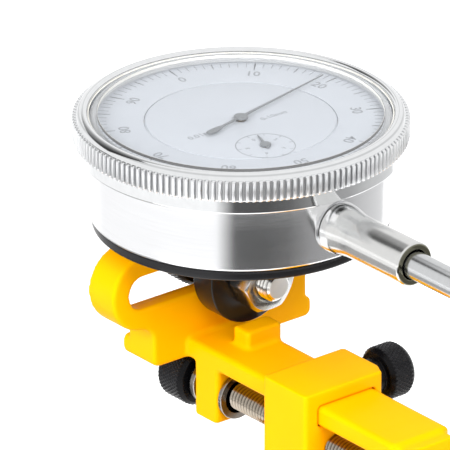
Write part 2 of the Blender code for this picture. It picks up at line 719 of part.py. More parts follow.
def clip_outline():
    # A ring with a mouth, whose three lips stand in the screw's groove.
    lip = SCREW_RADIUS - CLIP_GROOVE + RUN
    relief = SCREW_RADIUS + CLIP_RELIEF
    open_at = math.degrees(math.asin(CLIP_MOUTH / 2 / CLIP_RADIUS))
    open_in = math.degrees(math.asin(CLIP_MOUTH / 2 / relief))
    points = arc(0, 0, CLIP_RADIUS, open_at, 360 - open_at, 3 * ROUND_END)
    start = -open_in
    for middle in CLIP_LIPS:
        points += arc(0, 0, relief, start, middle + 2 * CLIP_LIP_HALF, CORNER_STEPS)
        points += arc(0, 0, lip, middle + CLIP_LIP_HALF, middle - CLIP_LIP_HALF, CORNER_STEPS)
        start = middle - 2 * CLIP_LIP_HALF
    return points + arc(0, 0, relief, start, open_in - 360, CORNER_STEPS)


def make_lead_screw(screw):
    washer_low = LEG_BACK - SEAT - WASHER_THICK
    hub_front = washer_low - SEAT
    head_depth = ADJUSTER_HUB_LENGTH + ADJUSTER_KNOB_LENGTH - KNOB_CAP
    clip_low = LEG_FRONT + SEAT
    clip_high = clip_low + CLIP_THICK
    groove = SCREW_RADIUS - CLIP_GROOVE
    chamfer = SCREW_RADIUS / 5
    start = hub_front - head_depth
    end = RAIL_FRONT + SCREW_TAIL
    profile = [(0, start), (SCREW_RADIUS, start), (SCREW_RADIUS, clip_low - SEAT),
               (groove, clip_low - SEAT), (groove, clip_high + SEAT), (SCREW_RADIUS, clip_high + SEAT),
               (SCREW_RADIUS, end - chamfer), (SCREW_RADIUS - chamfer, end), (0, end)]
    paint(solid("lead_screw", turned(profile, ROUND_MEDIUM), screw, turn=ALONG_X), "steel")
    knob("adjuster_knob", screw, (hub_front, 0, 0), ALONG_BACK, SCREW_RADIUS, head_depth,
         ADJUSTER_KNOB_RADIUS, ADJUSTER_KNOB_LENGTH, KNOB_HUB_RADIUS, ADJUSTER_HUB_LENGTH)
    washer = tube(SCREW_RADIUS + RUN, WASHER_RADIUS, 0, WASHER_THICK, ROUND_MEDIUM)
    paint(solid("thrust_washer", washer, screw, (washer_low, 0, 0), ALONG_X), "steel")
    clip = prism(clip_outline(), CLIP_THICK)
    paint(solid("retaining_clip", clip, screw, (clip_low, 0, 0), SIDE_PROFILE), "steel")


# Thumb screw that pinches the rail in the carriage

def make_lock(tip_body, screw_body):
    tip_low = RAIL_WIDTH / 2 + SEAT
    tip = rod(LOCK_TIP_RADIUS, tip_low, tip_low + LOCK_TIP_LENGTH, ROUND_MEDIUM)
    paint(solid("lock_tip", tip, tip_body, turn=ALONG_Y), "nylon")
    start = tip_low + LOCK_TIP_LENGTH + SEAT
    hub = CARRIAGE_FAR + LOCK_GAP
    depth = LOCK_HUB_LENGTH + KNOB_LENGTH - KNOB_CAP
    stem = rod(SCREW_RADIUS, start, hub + depth, ROUND_MEDIUM)
    paint(solid("lock_screw", stem, screw_body, turn=ALONG_Y), "steel")
    knob("lock_knob", screw_body, (0, hub, 0), ALONG_Y, SCREW_RADIUS, depth,
         KNOB_RADIUS, KNOB_LENGTH, KNOB_HUB_RADIUS, LOCK_HUB_LENGTH)


# Clamp screw and its swivel pad, under the jaw

def make_clamp(pad_body, screw_body):
    pad_low = -CLAMP_PAD_REST - CLAMP_PAD_THICK
    edge = CLAMP_PAD_THICK / 5
    socket = CLAMP_SCREW_RADIUS + SEAT
    depth = CLAMP_PAD_THICK / 2
    profile = [(0, pad_low + depth), (socket, pad_low + depth), (socket, pad_low),
               (CLAMP_PAD_RADIUS - edge, pad_low), (CLAMP_PAD_RADIUS, pad_low + edge),
               (CLAMP_PAD_RADIUS, -CLAMP_PAD_REST - edge), (CLAMP_PAD_RADIUS - edge, -CLAMP_PAD_REST),
               (0, -CLAMP_PAD_REST)]
    paint(solid("clamp_pad", turned(profile, ROUND_MEDIUM), pad_body), "rubber")
    top = pad_low + depth - SEAT
    hub = CLAMP_ARM_BOTTOM - CLAMP_UP - CLAMP_KNOB_GAP
    head_depth = CLAMP_KNOB_LENGTH - KNOB_CAP
    shank = rod(CLAMP_SCREW_RADIUS, hub - head_depth, top, ROUND_MEDIUM)
    paint(solid("clamp_screw", shank, screw_body), "steel")
    bore = CLAMP_SCREW_RADIUS + SEAT
    outer = [(CLAMP_KNOB_RADIUS - KNOB_CHAMFER, 0), (CLAMP_KNOB_RADIUS, KNOB_CHAMFER),
             (CLAMP_KNOB_RADIUS, CLAMP_KNOB_LENGTH - KNOB_CHAMFER),
             (CLAMP_KNOB_RADIUS - KNOB_CHAMFER, CLAMP_KNOB_LENGTH)]
    head = blind_cap(bore, head_depth + SEAT, outer, ROUND_MEDIUM)
    paint(solid("clamp_knob", head, screw_body, (0, 0, hub), DOWNWARD), "black_plastic")


# Bolt through the slot: washer and nut slide with it, its hand knob turns

def make_mount(slider, bolt):
    web_back = PLATE_FRONT - SLOT_SKIN - DIAL_X
    washer_low = web_back - SEAT - SLIDER_WASHER_THICK
    washer = tube(BOLT_RADIUS + RUN, SLIDER_WASHER_RADIUS, 0, SLIDER_WASHER_THICK, ROUND_MEDIUM)
    paint(solid("slider_washer", washer, slider, (washer_low, 0, 0), ALONG_X), "steel")

    lug_front = LUG_THICK - LUG_SETBACK
    nut_low = lug_front + SEAT
    hexagon = circle(NUT_FLATS / math.sqrt(3), 6)
    nut = prism(hexagon, NUT_THICK, [circle(BOLT_RADIUS + RUN, ROUND_MEDIUM)])
    paint(solid("mount_nut", nut, slider, (nut_low, 0, 0), SIDE_PROFILE), "chrome")

    hub_front = washer_low - SEAT
    head_front = PLATE_BACK - SEAT - DIAL_X
    hub_length = hub_front - head_front
    depth = hub_length + BOLT_KNOB_LENGTH - KNOB_CAP
    end = nut_low + NUT_THICK + BOLT_TAIL
    shank = rod(BOLT_RADIUS, hub_front - depth, end, ROUND_MEDIUM, BOLT_RADIUS / 8)
    paint(solid("mount_bolt", shank, bolt, turn=ALONG_X), "chrome")
    knob("mount_knob", bolt, (hub_front, 0, 0), ALONG_BACK, BOLT_RADIUS, depth,
         BOLT_KNOB_RADIUS, BOLT_KNOB_LENGTH, BOLT_HUB_RADIUS, hub_length)


# Dial: back plate with its lug, case, stem and cap

def polar(radius, degrees):
    angle = math.radians(degrees)
    return radius * math.cos(angle), radius * math.sin(angle)


def make_back(dial):
    piece = solid("dial_back", rod(BACK_RADIUS, 0, BACK_THICK, ROUND_LARGE, BACK_THICK / 5), dial)
    sides = BACK_THICK / 2
    lug = arc(0, -LUG_DROP, LUG_RADIUS, 180, 360, 2 * ROUND_END)
    lug += [(LUG_RADIUS, sides), (-LUG_RADIUS, sides)]
    hole = circle(BOLT_RADIUS + RUN, ROUND_MEDIUM, 0, -LUG_DROP)
    join(piece, solid("lug", prism(lug, LUG_THICK, [hole]), dial, (-LUG_SETBACK, 0, 0), SIDE_PROFILE))
    for index, angle in enumerate(BACK_SCREW_ANGLES):
        x, y = polar(BACK_SCREW_RING, angle)
        head = BACK_SCREW_HEAD + SEAT
        hole = BACK_SCREW_RADIUS + SEAT
        profile = [(0, -STOP_GAP), (head, -STOP_GAP), (head, BACK_THICK / 2), (hole, BACK_THICK),
                   (hole, BACK_THICK + STOP_GAP), (0, BACK_THICK + STOP_GAP)]
        cut(piece, solid(f"back_hole_{index}", turned(profile, ROUND_SMALL), dial, (x, y, 0)))
    return paint(piece, "black_paint")


def make_back_screws(dial):
    for index, angle in enumerate(BACK_SCREW_ANGLES):
        x, y = polar(BACK_SCREW_RING, angle)
        low = SEAT / 2
        end = BOSS_TOP - STOP_GAP
        profile = [(0, low), (BACK_SCREW_HEAD, low), (BACK_SCREW_HEAD, BACK_THICK / 2 - SEAT),
                   (BACK_SCREW_RADIUS, BACK_THICK - SEAT), (BACK_SCREW_RADIUS, end), (0, end)]
        paint(solid(f"back_screw_{index + 1}", turned(profile, ROUND_SMALL), dial, (x, y, 0)), "steel")


def make_case(dial):
    inner = CASE_INNER
    low = BACK_THICK + SEAT
    edge = CASE_WALL / 8
    profile = [(CASE_RADIUS - edge, low), (CASE_RADIUS, low + edge), (CASE_RADIUS, CASE_TOP),
               (inner + RIM_WALL, CASE_TOP), (inner + RIM_WALL, RIM_TOP),
               (inner, RIM_TOP), (inner, low)]
    piece = solid("dial_case", turned(profile, ROUND_LARGE, closed=True), dial)
    boss_low = BASE_TOP + SEAT
    for index, angle in enumerate(BACK_SCREW_ANGLES):
        x, y = polar(BACK_SCREW_RING, angle)
        boss = rod(BOSS_RADIUS, boss_low, BOSS_TOP, ROUND_SMALL)
        join(piece, solid(f"boss_{index}", boss, dial, (x, y, 0)))
    for index, angle in enumerate(BACK_SCREW_ANGLES):
        x, y = polar(BACK_SCREW_RING, angle)
        hole = rod(BACK_SCREW_RADIUS + SEAT, boss_low - STOP_GAP, BOSS_TOP - SEAT, ROUND_SMALL)
        cut(piece, solid(f"boss_hole_{index}", hole, dial, (x, y, 0)))
    bore = rod(STEM_RADIUS + SEAT, inner - CASE_WALL, CASE_RADIUS + STOP_GAP, ROUND_MEDIUM)
    cut(piece, solid("stem_bore", bore, dial, (0, 0, STEM_HEIGHT), ALONG_X))
    hole = rod(CAP_RADIUS + SEAT, inner - CASE_WALL, CASE_RADIUS + STOP_GAP, ROUND_MEDIUM)
    cut(piece, solid("cap_bore", hole, dial, (0, 0, STEM_HEIGHT), ALONG_BACK))
    return paint(piece, "chrome")


def make_stem(dial):
    start = CASE_INNER - SEAT
    root = CASE_RADIUS + SEAT
    end = CASE_RADIUS + STEM_LENGTH
    bore = SPINDLE_RADIUS + RUN
    collar = root + STEM_ROOT_LENGTH
    profile = [(STEM_RADIUS, start), (STEM_RADIUS, root), (STEM_ROOT_RADIUS, root),
               (STEM_ROOT_RADIUS, collar), (STEM_RADIUS, collar + STEM_CHAMFER),
               (STEM_RADIUS, end - STEM_CHAMFER), (STEM_RADIUS - STEM_CHAMFER, end),
               (bore, end), (bore, start)]
    stem = turned(profile, ROUND_MEDIUM, closed=True)
    paint(solid("stem", stem, dial, (0, 0, STEM_HEIGHT), ALONG_X), "chrome")

    low = CASE_INNER
    top = CASE_RADIUS + CAP_LENGTH
    edge = CAP_RADIUS / 5
    outer = [(CAP_RADIUS, 0), (CAP_RADIUS, top - low - edge), (CAP_RADIUS - edge, top - low)]
    cap = blind_cap(bore, top - low - CAP_END, outer, ROUND_MEDIUM)
    paint(solid("dust_cap", cap, dial, (-low, 0, STEM_HEIGHT), ALONG_BACK), "chrome")


# Dial: bezel with its ribs, and what turns with it

def make_bezel(turning):
    inner = CASE_INNER + RIM_WALL + RUN
    low = CASE_TOP + SEAT
    edge = (BEZEL_BAND_RADIUS - CASE_RADIUS) / 5
    valley = BEZEL_KNURL_RADIUS - BEZEL_KNURL_DEPTH
    ribs = []
    for index in range(2 * BEZEL_RIBS):
        radius = BEZEL_KNURL_RADIUS if index % 2 == 0 else valley
        ribs += [polar(radius, 180.0 * index / BEZEL_RIBS)]
    lip = (BEZEL_TOP - BEZEL_KNURL_TOP) / 2
    middle = (BEZEL_BORE + BEZEL_BAND_RADIUS) / 2
    band = [(BEZEL_BAND_RADIUS - edge, low), (BEZEL_BAND_RADIUS, low + edge),
            (BEZEL_BAND_RADIUS, BEZEL_BAND_TOP), (valley - edge, BEZEL_BAND_TOP)]
    top = [(valley - edge, BEZEL_KNURL_TOP), (BEZEL_BAND_RADIUS - edge, BEZEL_KNURL_TOP + lip),
           (middle, BEZEL_TOP), (BEZEL_BORE + edge, BEZEL_TOP), (BEZEL_BORE, BEZEL_TOP - edge),
           (BEZEL_BORE, BEZEL_LEDGE), (inner, BEZEL_LEDGE), (inner, low)]
    rings = [ring(circle(radius, ROUND_LARGE), height) for radius, height in band]
    rings += [ring(ribs, BEZEL_BAND_TOP + edge), ring(ribs, BEZEL_KNURL_TOP - edge)]
    rings += [ring(circle(radius, ROUND_LARGE), height) for radius, height in top]
    return paint(solid("bezel", skin(rings, closed=True), turning), "chrome")


def make_scale(turning):
    outer = BEZEL_BORE - SEAT
    scale = tube(FACE_RADIUS + RUN, outer, FACE_LOW, FACE_TOP, ROUND_LARGE)
    paint(solid("scale_ring", scale, turning), "face")
    low = FACE_TOP + SEAT
    inner = outer - CRYSTAL_SKIRT
    ceiling = CRYSTAL_TOP - CRYSTAL_THICK
    profile = [(0, ceiling), (inner - CRYSTAL_BEVEL, ceiling), (inner, ceiling - CRYSTAL_BEVEL / 2),
               (inner, low), (outer, low), (outer, CRYSTAL_TOP - CRYSTAL_BEVEL),
               (outer - CRYSTAL_BEVEL, CRYSTAL_TOP), (0, CRYSTAL_TOP)]
    paint(solid("crystal", turned(profile, ROUND_LARGE), turning), "crystal")


# Movement plates and pillars

def make_movement(dial):
    holes = []
    for angle in BACK_SCREW_ANGLES:
        x, y = polar(BACK_SCREW_RING, angle)
        holes.append(circle(BACK_SCREW_RADIUS + SEAT, ROUND_SMALL, x, y))
    pivots = [circle(PIVOT_RADIUS + RUN, ROUND_SMALL, COUNT_X, COUNT_Y),
              circle(PIVOT_RADIUS + RUN, ROUND_SMALL, -COUNT_X, -COUNT_Y)]
    base = prism(circle(MOVEMENT_RADIUS, ROUND_LARGE), MOVEMENT_THICK, holes + pivots)
    piece = solid("movement_base", base, dial, (0, 0, BASE_LOW))
    foot = BASE_LOW + MOVEMENT_THICK / 2
    post = rod(SPRING_POST_RADIUS, foot, STEM_HEIGHT + SPRING_POST_RADIUS, ROUND_SMALL)
    x = SPRING_END + SEAT + SPRING_POST_RADIUS
    paint(join(piece, solid("spring_post", post, dial, (x, SPRING_Y, 0))), "brass")

    arbors = [circle(ARBOR_RADIUS + RUN, ROUND_SMALL),
              circle(ARBOR_RADIUS + RUN, ROUND_SMALL, COUNT_X, COUNT_Y),
              circle(PIVOT_RADIUS + RUN, ROUND_SMALL, -COUNT_X, -COUNT_Y)]
    top = prism(circle(TOP_PLATE_RADIUS, ROUND_LARGE), MOVEMENT_THICK, arbors)
    paint(solid("movement_top", top, dial, (0, 0, TOP_PLATE_LOW)), "brass")

    reach = PILLAR_RING + 2 * PILLAR_RADIUS
    strip = rounded_box(-BRIDGE_WIDTH / 2, -reach, BRIDGE_WIDTH / 2, reach, BRIDGE_WIDTH / 4)
    bores = [circle(PIVOT_RADIUS + RUN, ROUND_SMALL)]
    for angle in BRIDGE_PILLARS:
        bores.append(circle(PILLAR_NECK + SEAT, ROUND_SMALL, *polar(PILLAR_RING, angle)))
    bridge = prism(strip, BRIDGE_THICK, bores)
    paint(solid("movement_bridge", bridge, dial, (0, 0, BRIDGE_LOW)), "brass")

    low = BASE_TOP + SEAT
    high = TOP_PLATE_LOW - SEAT
    shoulder = BRIDGE_LOW - SEAT
    for index, angle in enumerate(PILLAR_ANGLES):
        x, y = polar(PILLAR_RING, angle)
        profile = [(0, low), (PILLAR_RADIUS, low), (PILLAR_RADIUS, high), (0, high)]
        if angle in BRIDGE_PILLARS:
            neck = [(PILLAR_RADIUS, shoulder), (PILLAR_NECK, shoulder), (PILLAR_NECK, high)]
            profile = profile[:2] + neck + profile[-1:]
        paint(solid(f"pillar_{index + 1}", turned(profile, ROUND_SMALL), dial, (x, y, 0)), "brass")


def make_face(dial):
    inner = FACE_RADIUS / 2
    leg = inner + MOVEMENT_THICK
    low = TOP_PLATE_LOW + MOVEMENT_THICK + SEAT
    bore = ARBOR_RADIUS + RUN
    profile = [(leg, low), (leg, FACE_LOW), (FACE_RADIUS, FACE_LOW), (FACE_RADIUS, FACE_TOP),
               (bore, FACE_TOP), (bore, FACE_LOW), (inner, FACE_LOW), (inner, low)]
    piece = solid("inner_face", turned(profile, ROUND_LARGE, closed=True), dial)
    hole = rod(bore, FACE_LOW - STOP_GAP, FACE_TOP + STOP_GAP, ROUND_SMALL)
    cut(piece, solid("count_hole", hole, dial, (COUNT_X, COUNT_Y, 0)))
    return paint(piece, "face")


# Spindle with its rack, and the contact tip

def rack_cutter():
    # What is cut from the spindle's side: everything beyond the teeth's outline.
    half = RACK_PITCH / 4 - RACK_SLACK / 2
    slope = math.tan(math.radians(PRESSURE_ANGLE))
    above = RACK_ADDENDUM * RACK_MODULE
    below = RACK_DEDENDUM * RACK_MODULE
    crest = RACK_PITCH_LINE - above
    root = RACK_PITCH_LINE + below
    start = COUNT_X - RACK_PITCH * RACK_LEAD
    outside = RACK_PITCH_LINE - 3 * SPINDLE_RADIUS
    points = []
    for tooth in range(RACK_TEETH):
        middle = start + RACK_PITCH * tooth
        wide = half + below * slope
        narrow = half - above * slope
        points += [(middle - wide, root), (middle - narrow, crest)]
        points += [(middle + narrow, crest), (middle + wide, root)]
    first = start - RACK_PITCH
    last = start + RACK_PITCH * RACK_TEETH
    return [(first, root)] + points + [(last, root), (last, outside), (first, outside)]


def make_spindle(spindle):
    length = SPINDLE_REACH + SPINDLE_TAIL
    shaft = rod(SPINDLE_RADIUS, 0, length, ROUND_MEDIUM, SPINDLE_RADIUS / 8)
    piece = solid("spindle", shaft, spindle, (-SPINDLE_TAIL, 0, 0), ALONG_X)
    cutter = prism(rack_cutter(), 3 * SPINDLE_RADIUS)
    cut(piece, solid("rack_space", cutter, spindle, (0, 0, -1.5 * SPINDLE_RADIUS)))
    pin = rod(PIN_RADIUS, 0, PIN_REACH, ROUND_SMALL)
    join(piece, solid("spring_pin", pin, spindle, (-PIN_BACK, 0, 0), ACROSS))
    paint(piece, "steel")

    neck = TIP_LENGTH - 2 * TIP_BALL
    profile = [(0, 0), (TIP_RADIUS, 0), (TIP_RADIUS, neck)]
    for angle in TIP_STEPS:
        radius, height = polar(TIP_BALL, angle)
        profile.append((radius, neck + TIP_BALL + height))
    profile.append((0, neck + 2 * TIP_BALL))
    tip = turned(profile, ROUND_MEDIUM)
    paint(solid("contact_tip", tip, spindle, (SPINDLE_REACH + SEAT, 0, 0), ALONG_X), "steel")


# Arbors, wheels and pointers

def wheel_outline(phase):
    return gear_outline(WHEEL_TEETH, WHEEL_MODULE, WHEEL_ADDENDUM, GEAR_DEDENDUM, GEAR_SLACK, phase)


def pinion_outline(phase):
    return gear_outline(PINION_TEETH, WHEEL_MODULE, PINION_ADDENDUM, GEAR_DEDENDUM, GEAR_SLACK, phase)


def arbor_rings(steps):
    # Each step is an outline with the two heights it spans, one above the other.
    rings = [[Vector((0, 0, steps[0][1]))]]
    for outline, low, high in steps:
        rings += [ring(outline, low), ring(outline, high)]
    rings.append([Vector((0, 0, steps[-1][2]))])
    return rings


def make_count_arbor(count):
    shaft = circle(ARBOR_RADIUS, ROUND_SMALL)
    pivot_end = circle(PIVOT_RADIUS, ROUND_SMALL)
    phase = QUARTER + math.pi / RACK_PINION_TEETH
    rack_pinion = gear_outline(RACK_PINION_TEETH, RACK_MODULE, RACK_ADDENDUM, RACK_DEDENDUM,
                               RACK_SLACK, phase)
    half = SPINDLE_RADIUS / 2
    steps = [(pivot_end, BASE_LOW, BASE_TOP + SEAT),
             (shaft, BASE_TOP + SEAT, STEM_HEIGHT - half),
             (rack_pinion, STEM_HEIGHT - half, STEM_HEIGHT + half),
             (shaft, STEM_HEIGHT + half, WHEEL_LOW),
             (wheel_outline(math.atan2(-COUNT_Y, -COUNT_X)), WHEEL_LOW, WHEEL_LOW + WHEEL_THICK),
             (shaft, WHEEL_LOW + WHEEL_THICK, COUNT_POINTER_LOW + HUB_BORE_TOP - PRESS)]
    paint(solid("count_arbor", skin(arbor_rings(steps)), count), "brass")


def make_takeup_arbor(takeup):
    shaft = circle(ARBOR_RADIUS, ROUND_SMALL)
    pivot_end = circle(PIVOT_RADIUS, ROUND_SMALL)
    steps = [(pivot_end, BASE_LOW, BASE_TOP + SEAT),
             (shaft, BASE_TOP + SEAT, WHEEL_LOW),
             (wheel_outline(math.atan2(COUNT_Y, COUNT_X)), WHEEL_LOW, WHEEL_LOW + WHEEL_THICK),
             (shaft, WHEEL_LOW + WHEEL_THICK, TOP_PLATE_LOW - SEAT),
             (pivot_end, TOP_PLATE_LOW - SEAT, TOP_PLATE_LOW + MOVEMENT_THICK)]
    paint(solid("takeup_wheel", skin(arbor_rings(steps)), takeup), "brass")


def make_centre_pinion(centre):
    shaft = circle(ARBOR_RADIUS, ROUND_SMALL)
    pivot_end = circle(PIVOT_RADIUS, ROUND_SMALL)
    phase = math.atan2(COUNT_Y, COUNT_X) + math.pi / PINION_TEETH
    low = WHEEL_LOW - SEAT
    high = WHEEL_LOW + WHEEL_THICK + SEAT
    steps = [(pivot_end, BRIDGE_LOW, BRIDGE_LOW + BRIDGE_THICK + SEAT),
             (shaft, BRIDGE_LOW + BRIDGE_THICK + SEAT, low),
             (pinion_outline(phase), low, high),
             (shaft, high, POINTER_LOW + HUB_BORE_TOP - PRESS)]
    paint(solid("centre_pinion", skin(arbor_rings(steps)), centre), "steel")


def hand(name, parent, length, tail, width, tail_width, hub, low, angle):
    # A tapering hand whose hub caps the arbor's end.
    half = width / 2
    end = tail_width / 2
    tip_half = half / 3
    points = [(length, -tip_half), (length, tip_half), (0, half), (-tail, end), (-tail, -end), (0, -half)]
    turn = (0, 0, math.pi - math.radians(angle))
    piece = solid(name, prism(points, POINTER_THICK), parent, (0, 0, low), turn)
    boss = rod(hub, -HUB_SKIRT, POINTER_THICK + HUB_CROWN, ROUND_SMALL)
    join(piece, solid(name + "_boss", boss, parent, (0, 0, low)))
    bore = rod(ARBOR_RADIUS + PRESS, -STOP_GAP, HUB_BORE_TOP, ROUND_SMALL)
    cut(piece, solid(name + "_bore", bore, parent, (0, 0, low)))
    return paint(piece, "pointer")


def make_hands(centre, count):
    hand("main_pointer", centre, POINTER_LENGTH, POINTER_TAIL, POINTER_WIDTH, POINTER_TAIL_WIDTH,
         POINTER_HUB, POINTER_LOW, POINTER_ANGLE)
    hand("count_pointer", count, COUNT_POINTER_LENGTH, COUNT_POINTER_TAIL, POINTER_WIDTH, POINTER_WIDTH,
         COUNT_HUB, COUNT_POINTER_LOW, COUNT_POINTER_ANGLE)


# Springs

def make_springs(dial):
    helix = coil(SPRING_RADIUS, SPRING_WIRE, SPRING_PITCH, SPRING_TURNS, SPRING_STEPS, SPRING_SIDES)
    paint(solid("return_spring", helix, dial, (SPRING_START, SPRING_Y, STEM_HEIGHT), ALONG_X), "steel")

    inner = []
    outer = []
    steps = HAIR_TURNS * HAIR_STEPS
    for step in range(steps + 1):
        radius = HAIR_INNER + (HAIR_OUTER - HAIR_INNER) * step / steps
        angle = 360.0 * HAIR_TURNS * step / steps
        inner.append(polar(radius - HAIR_WIDTH / 2, angle))
        outer.append(polar(radius + HAIR_WIDTH / 2, angle))
    ribbon = prism(inner + outer[::-1], HAIR_HEIGHT)
    place = (-COUNT_X, -COUNT_Y, WHEEL_LOW - HAIR_HEIGHT - RUN)
    paint(solid("hairspring", ribbon, dial, place), "steel")


def main():
    remove_everything()
    root = pivot("stay_seat", (0, 0, 0))
    rail = pivot("rail_slide", (0, 0, 0), root)
    screw = pivot("lead_screw_axis", (0, SCREW_Y, SCREW_Z), rail)
    lock_height = RAIL_TOP - RAIL_THICK / 2
    lock_tip = pivot("lock_slide", (LOCK_X, 0, lock_height), root)
    lock_screw = pivot("lock_axis", (0, 0, 0), lock_tip)
    clamp_pad = pivot("clamp_slide", (0, 0, 0), root)
    clamp_screw = pivot("clamp_axis", (0, 0, 0), clamp_pad)
    slider = pivot("mount_slide", (DIAL_X, MOUNT_REST_Y, BOLT_Z), rail)
    bolt = pivot("mount_axis", (0, 0, 0), slider)
    tilt = pivot("tilt_axis", (0, 0, 0), slider)
    dial = pivot("dial_axis", (0, 0, LUG_DROP), tilt)
    turning = pivot("bezel_axis", (0, 0, 0), dial)
    spindle = pivot("spindle_slide", (0, 0, STEM_HEIGHT), dial)
    centre = pivot("centre_axis", (0, 0, 0), dial)
    count = pivot("count_axis", (COUNT_X, COUNT_Y, 0), dial)
    takeup = pivot("takeup_axis", (-COUNT_X, -COUNT_Y, 0), dial)

    make_carriage(root)
    make_inserts(root)
    make_bracket(rail)
    make_lead_screw(screw)
    make_lock(lock_tip, lock_screw)
    make_clamp(clamp_pad, clamp_screw)
    make_mount(slider, bolt)
    make_back(dial)
    make_back_screws(dial)
    make_case(dial)
    make_stem(dial)
    make_bezel(turning)
    make_scale(turning)
    make_movement(dial)
    make_face(dial)
    make_spindle(spindle)
    make_count_arbor(count)
    make_takeup_arbor(takeup)
    make_centre_pinion(centre)
    make_hands(centre, count)
    make_springs(dial)


main()
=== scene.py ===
import math

import bmesh
import bpy
from mathutils import Matrix, Vector


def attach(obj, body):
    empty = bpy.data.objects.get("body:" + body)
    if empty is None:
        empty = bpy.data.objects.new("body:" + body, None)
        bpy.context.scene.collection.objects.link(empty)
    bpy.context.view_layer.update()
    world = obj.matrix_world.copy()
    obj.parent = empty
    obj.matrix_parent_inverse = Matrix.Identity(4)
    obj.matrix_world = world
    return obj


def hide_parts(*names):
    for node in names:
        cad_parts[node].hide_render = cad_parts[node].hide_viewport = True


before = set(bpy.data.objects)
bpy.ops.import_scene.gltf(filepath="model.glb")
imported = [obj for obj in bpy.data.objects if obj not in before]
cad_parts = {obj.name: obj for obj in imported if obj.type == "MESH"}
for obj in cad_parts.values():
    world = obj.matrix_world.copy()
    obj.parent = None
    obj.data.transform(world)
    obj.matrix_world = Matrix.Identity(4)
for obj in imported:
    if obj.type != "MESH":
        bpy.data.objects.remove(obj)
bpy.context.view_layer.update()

# Clamp-on wheel truing gauge. Shapes are made in millimetres in the frame's own axes and shrunk
# to metres at the end. X runs along the rail and the dial's stem, Z is up.

metre = 0.001


class Sizes(dict):
    # a dictionary whose values also read as size.name
    def __getattr__(self, name):
        return self[name]


# where the dial stands: its axis, and the underside of its back
dial = Sizes(x=-28.45, y=3.8, z=40.0, stemHeight=8.0)


# Outlines and solids

def polar(radius, degrees):
    angle = math.radians(degrees)
    return radius * math.cos(angle), radius * math.sin(angle)


def arcPoints(x, y, radius, start, end, steps):
    spots = [polar(radius, start + (end - start) * step / steps) for step in range(steps + 1)]
    return [(x + dx, y + dy) for dx, dy in spots]


def arcCorners(radius, *corners):
    points = []
    for x, y, start, end in corners:
        points += arcPoints(x, y, radius, start, end, 6)
    return points


def rectangle(x0, y0, x1, y1):
    return [(x0, y0), (x1, y0), (x1, y1), (x0, y1)]


def boxOutline(x0, y0, x1, y1, radius):
    return arcCorners(radius, (x1 - radius, y0 + radius, -90, 0), (x1 - radius, y1 - radius, 0, 90),
                      (x0 + radius, y1 - radius, 90, 180), (x0 + radius, y0 + radius, 180, 270))


def slotOutline(x0, x1, y, radius, steps=20):
    return arcPoints(x1, y, radius, -90, 90, steps) + arcPoints(x0, y, radius, 90, 270, steps)


def softened(points, radius, steps=4, closed=True):
    # every corner becomes a short curve, a point's third number is its own radius
    result = []
    last = len(points) - 1
    for index, point in enumerate(points):
        if not closed and index in (0, last):
            result.append(tuple(point[:2]))
            continue
        here = Vector(point[:2])
        before = Vector(points[index - 1][:2]) - here
        after = Vector(points[(index + 1) % len(points)][:2]) - here
        wanted = point[2] if len(point) > 2 else radius
        reach = min(wanted, before.length * 0.48, after.length * 0.48)
        if reach < 0.005:
            result.append(tuple(here))
            continue
        start = here + before.normalized() * reach
        end = here + after.normalized() * reach
        for step in range(steps + 1):
            on = step / steps
            off = 1 - on
            result.append(tuple(start * off ** 2 + here * (2 * on * off) + end * on * on))
    return result


def insetOutline(points, distance):
    result = []
    for index, point in enumerate(points):
        here = Vector(point)
        one = (here - Vector(points[index - 1])).normalized()
        two = (Vector(points[(index + 1) % len(points)]) - here).normalized()
        way = Vector((-one.y - two.y, one.x + two.x))
        length = max(way.length, 0.3)
        result.append(tuple(here + way / length * distance * min(2 / length, 1.6)))
    return result


def stackedShape(layers, capped=True, closed=False):
    # a skin over outlines of one length, each a list of 3-D points
    count = len(layers[0])
    rings = [range(level * count, (level + 1) * count) for level in range(len(layers))]
    faces = [tuple(reversed(rings[0])), tuple(rings[-1])] if capped else []
    for lower, upper in zip(rings, rings[1:] + rings[:1] if closed else rings[1:]):
        for step in range(count):
            after = (step + 1) % count
            faces.append((lower[step], lower[after], upper[after], upper[step]))
    return [point for layer in layers for point in layer], faces


def turnedShape(profile, sides, closed=False):
    # points on the axis merge when the mesh is cleaned
    turns = [2 * math.pi * side / sides for side in range(sides)]
    return stackedShape([[(radius * math.cos(turn), radius * math.sin(turn), height) for turn in turns]
                         for radius, height in profile], False, closed)


def slabShape(outline, low, high, edge=0.0, steps=3):
    # a prism whose two rims are rounded
    levels = [(0.0, low), (0.0, high)]
    if edge > 0:
        turns = [math.pi / 2 * step / steps for step in range(steps + 1)]
        levels = [(edge * (1 - math.sin(turn)), low + edge * (1 - math.cos(turn))) for turn in turns]
        levels += [(inset, low + high - height) for inset, height in reversed(levels)]
    layers = []
    for inset, height in levels:
        rim = insetOutline(outline, inset) if inset > 0 else outline
        layers.append([(x, y, height) for x, y in rim])
    return stackedShape(layers)


# Turns that lay a shape's own Z along one of the frame's axes
alongX = Matrix(((0, 0, 1, 0), (1, 0, 0, 0), (0, 1, 0, 0), (0, 0, 0, 1)))
alongBack = Matrix.Rotation(math.pi, 4, "Z") @ alongX
alongY = Matrix(((0, 1, 0, 0), (0, 0, 1, 0), (1, 0, 0, 0), (0, 0, 0, 1)))
frontProfile = Matrix.Rotation(math.pi / 2, 4, "X")
downward = Matrix.Rotation(math.pi, 4, "X")
upright = Matrix.Identity(4)


def at(x, y, z, turn=upright):
    return Matrix.Translation((x, y, z)) @ turn


dialTurn = at(dial.x, dial.y, dial.z)
stemTurn = at(dial.x, dial.y, dial.z + dial.stemHeight, alongX)


def linked(name, data):
    thing = bpy.data.objects.new(name, data)
    bpy.context.scene.collection.objects.link(thing)
    return thing


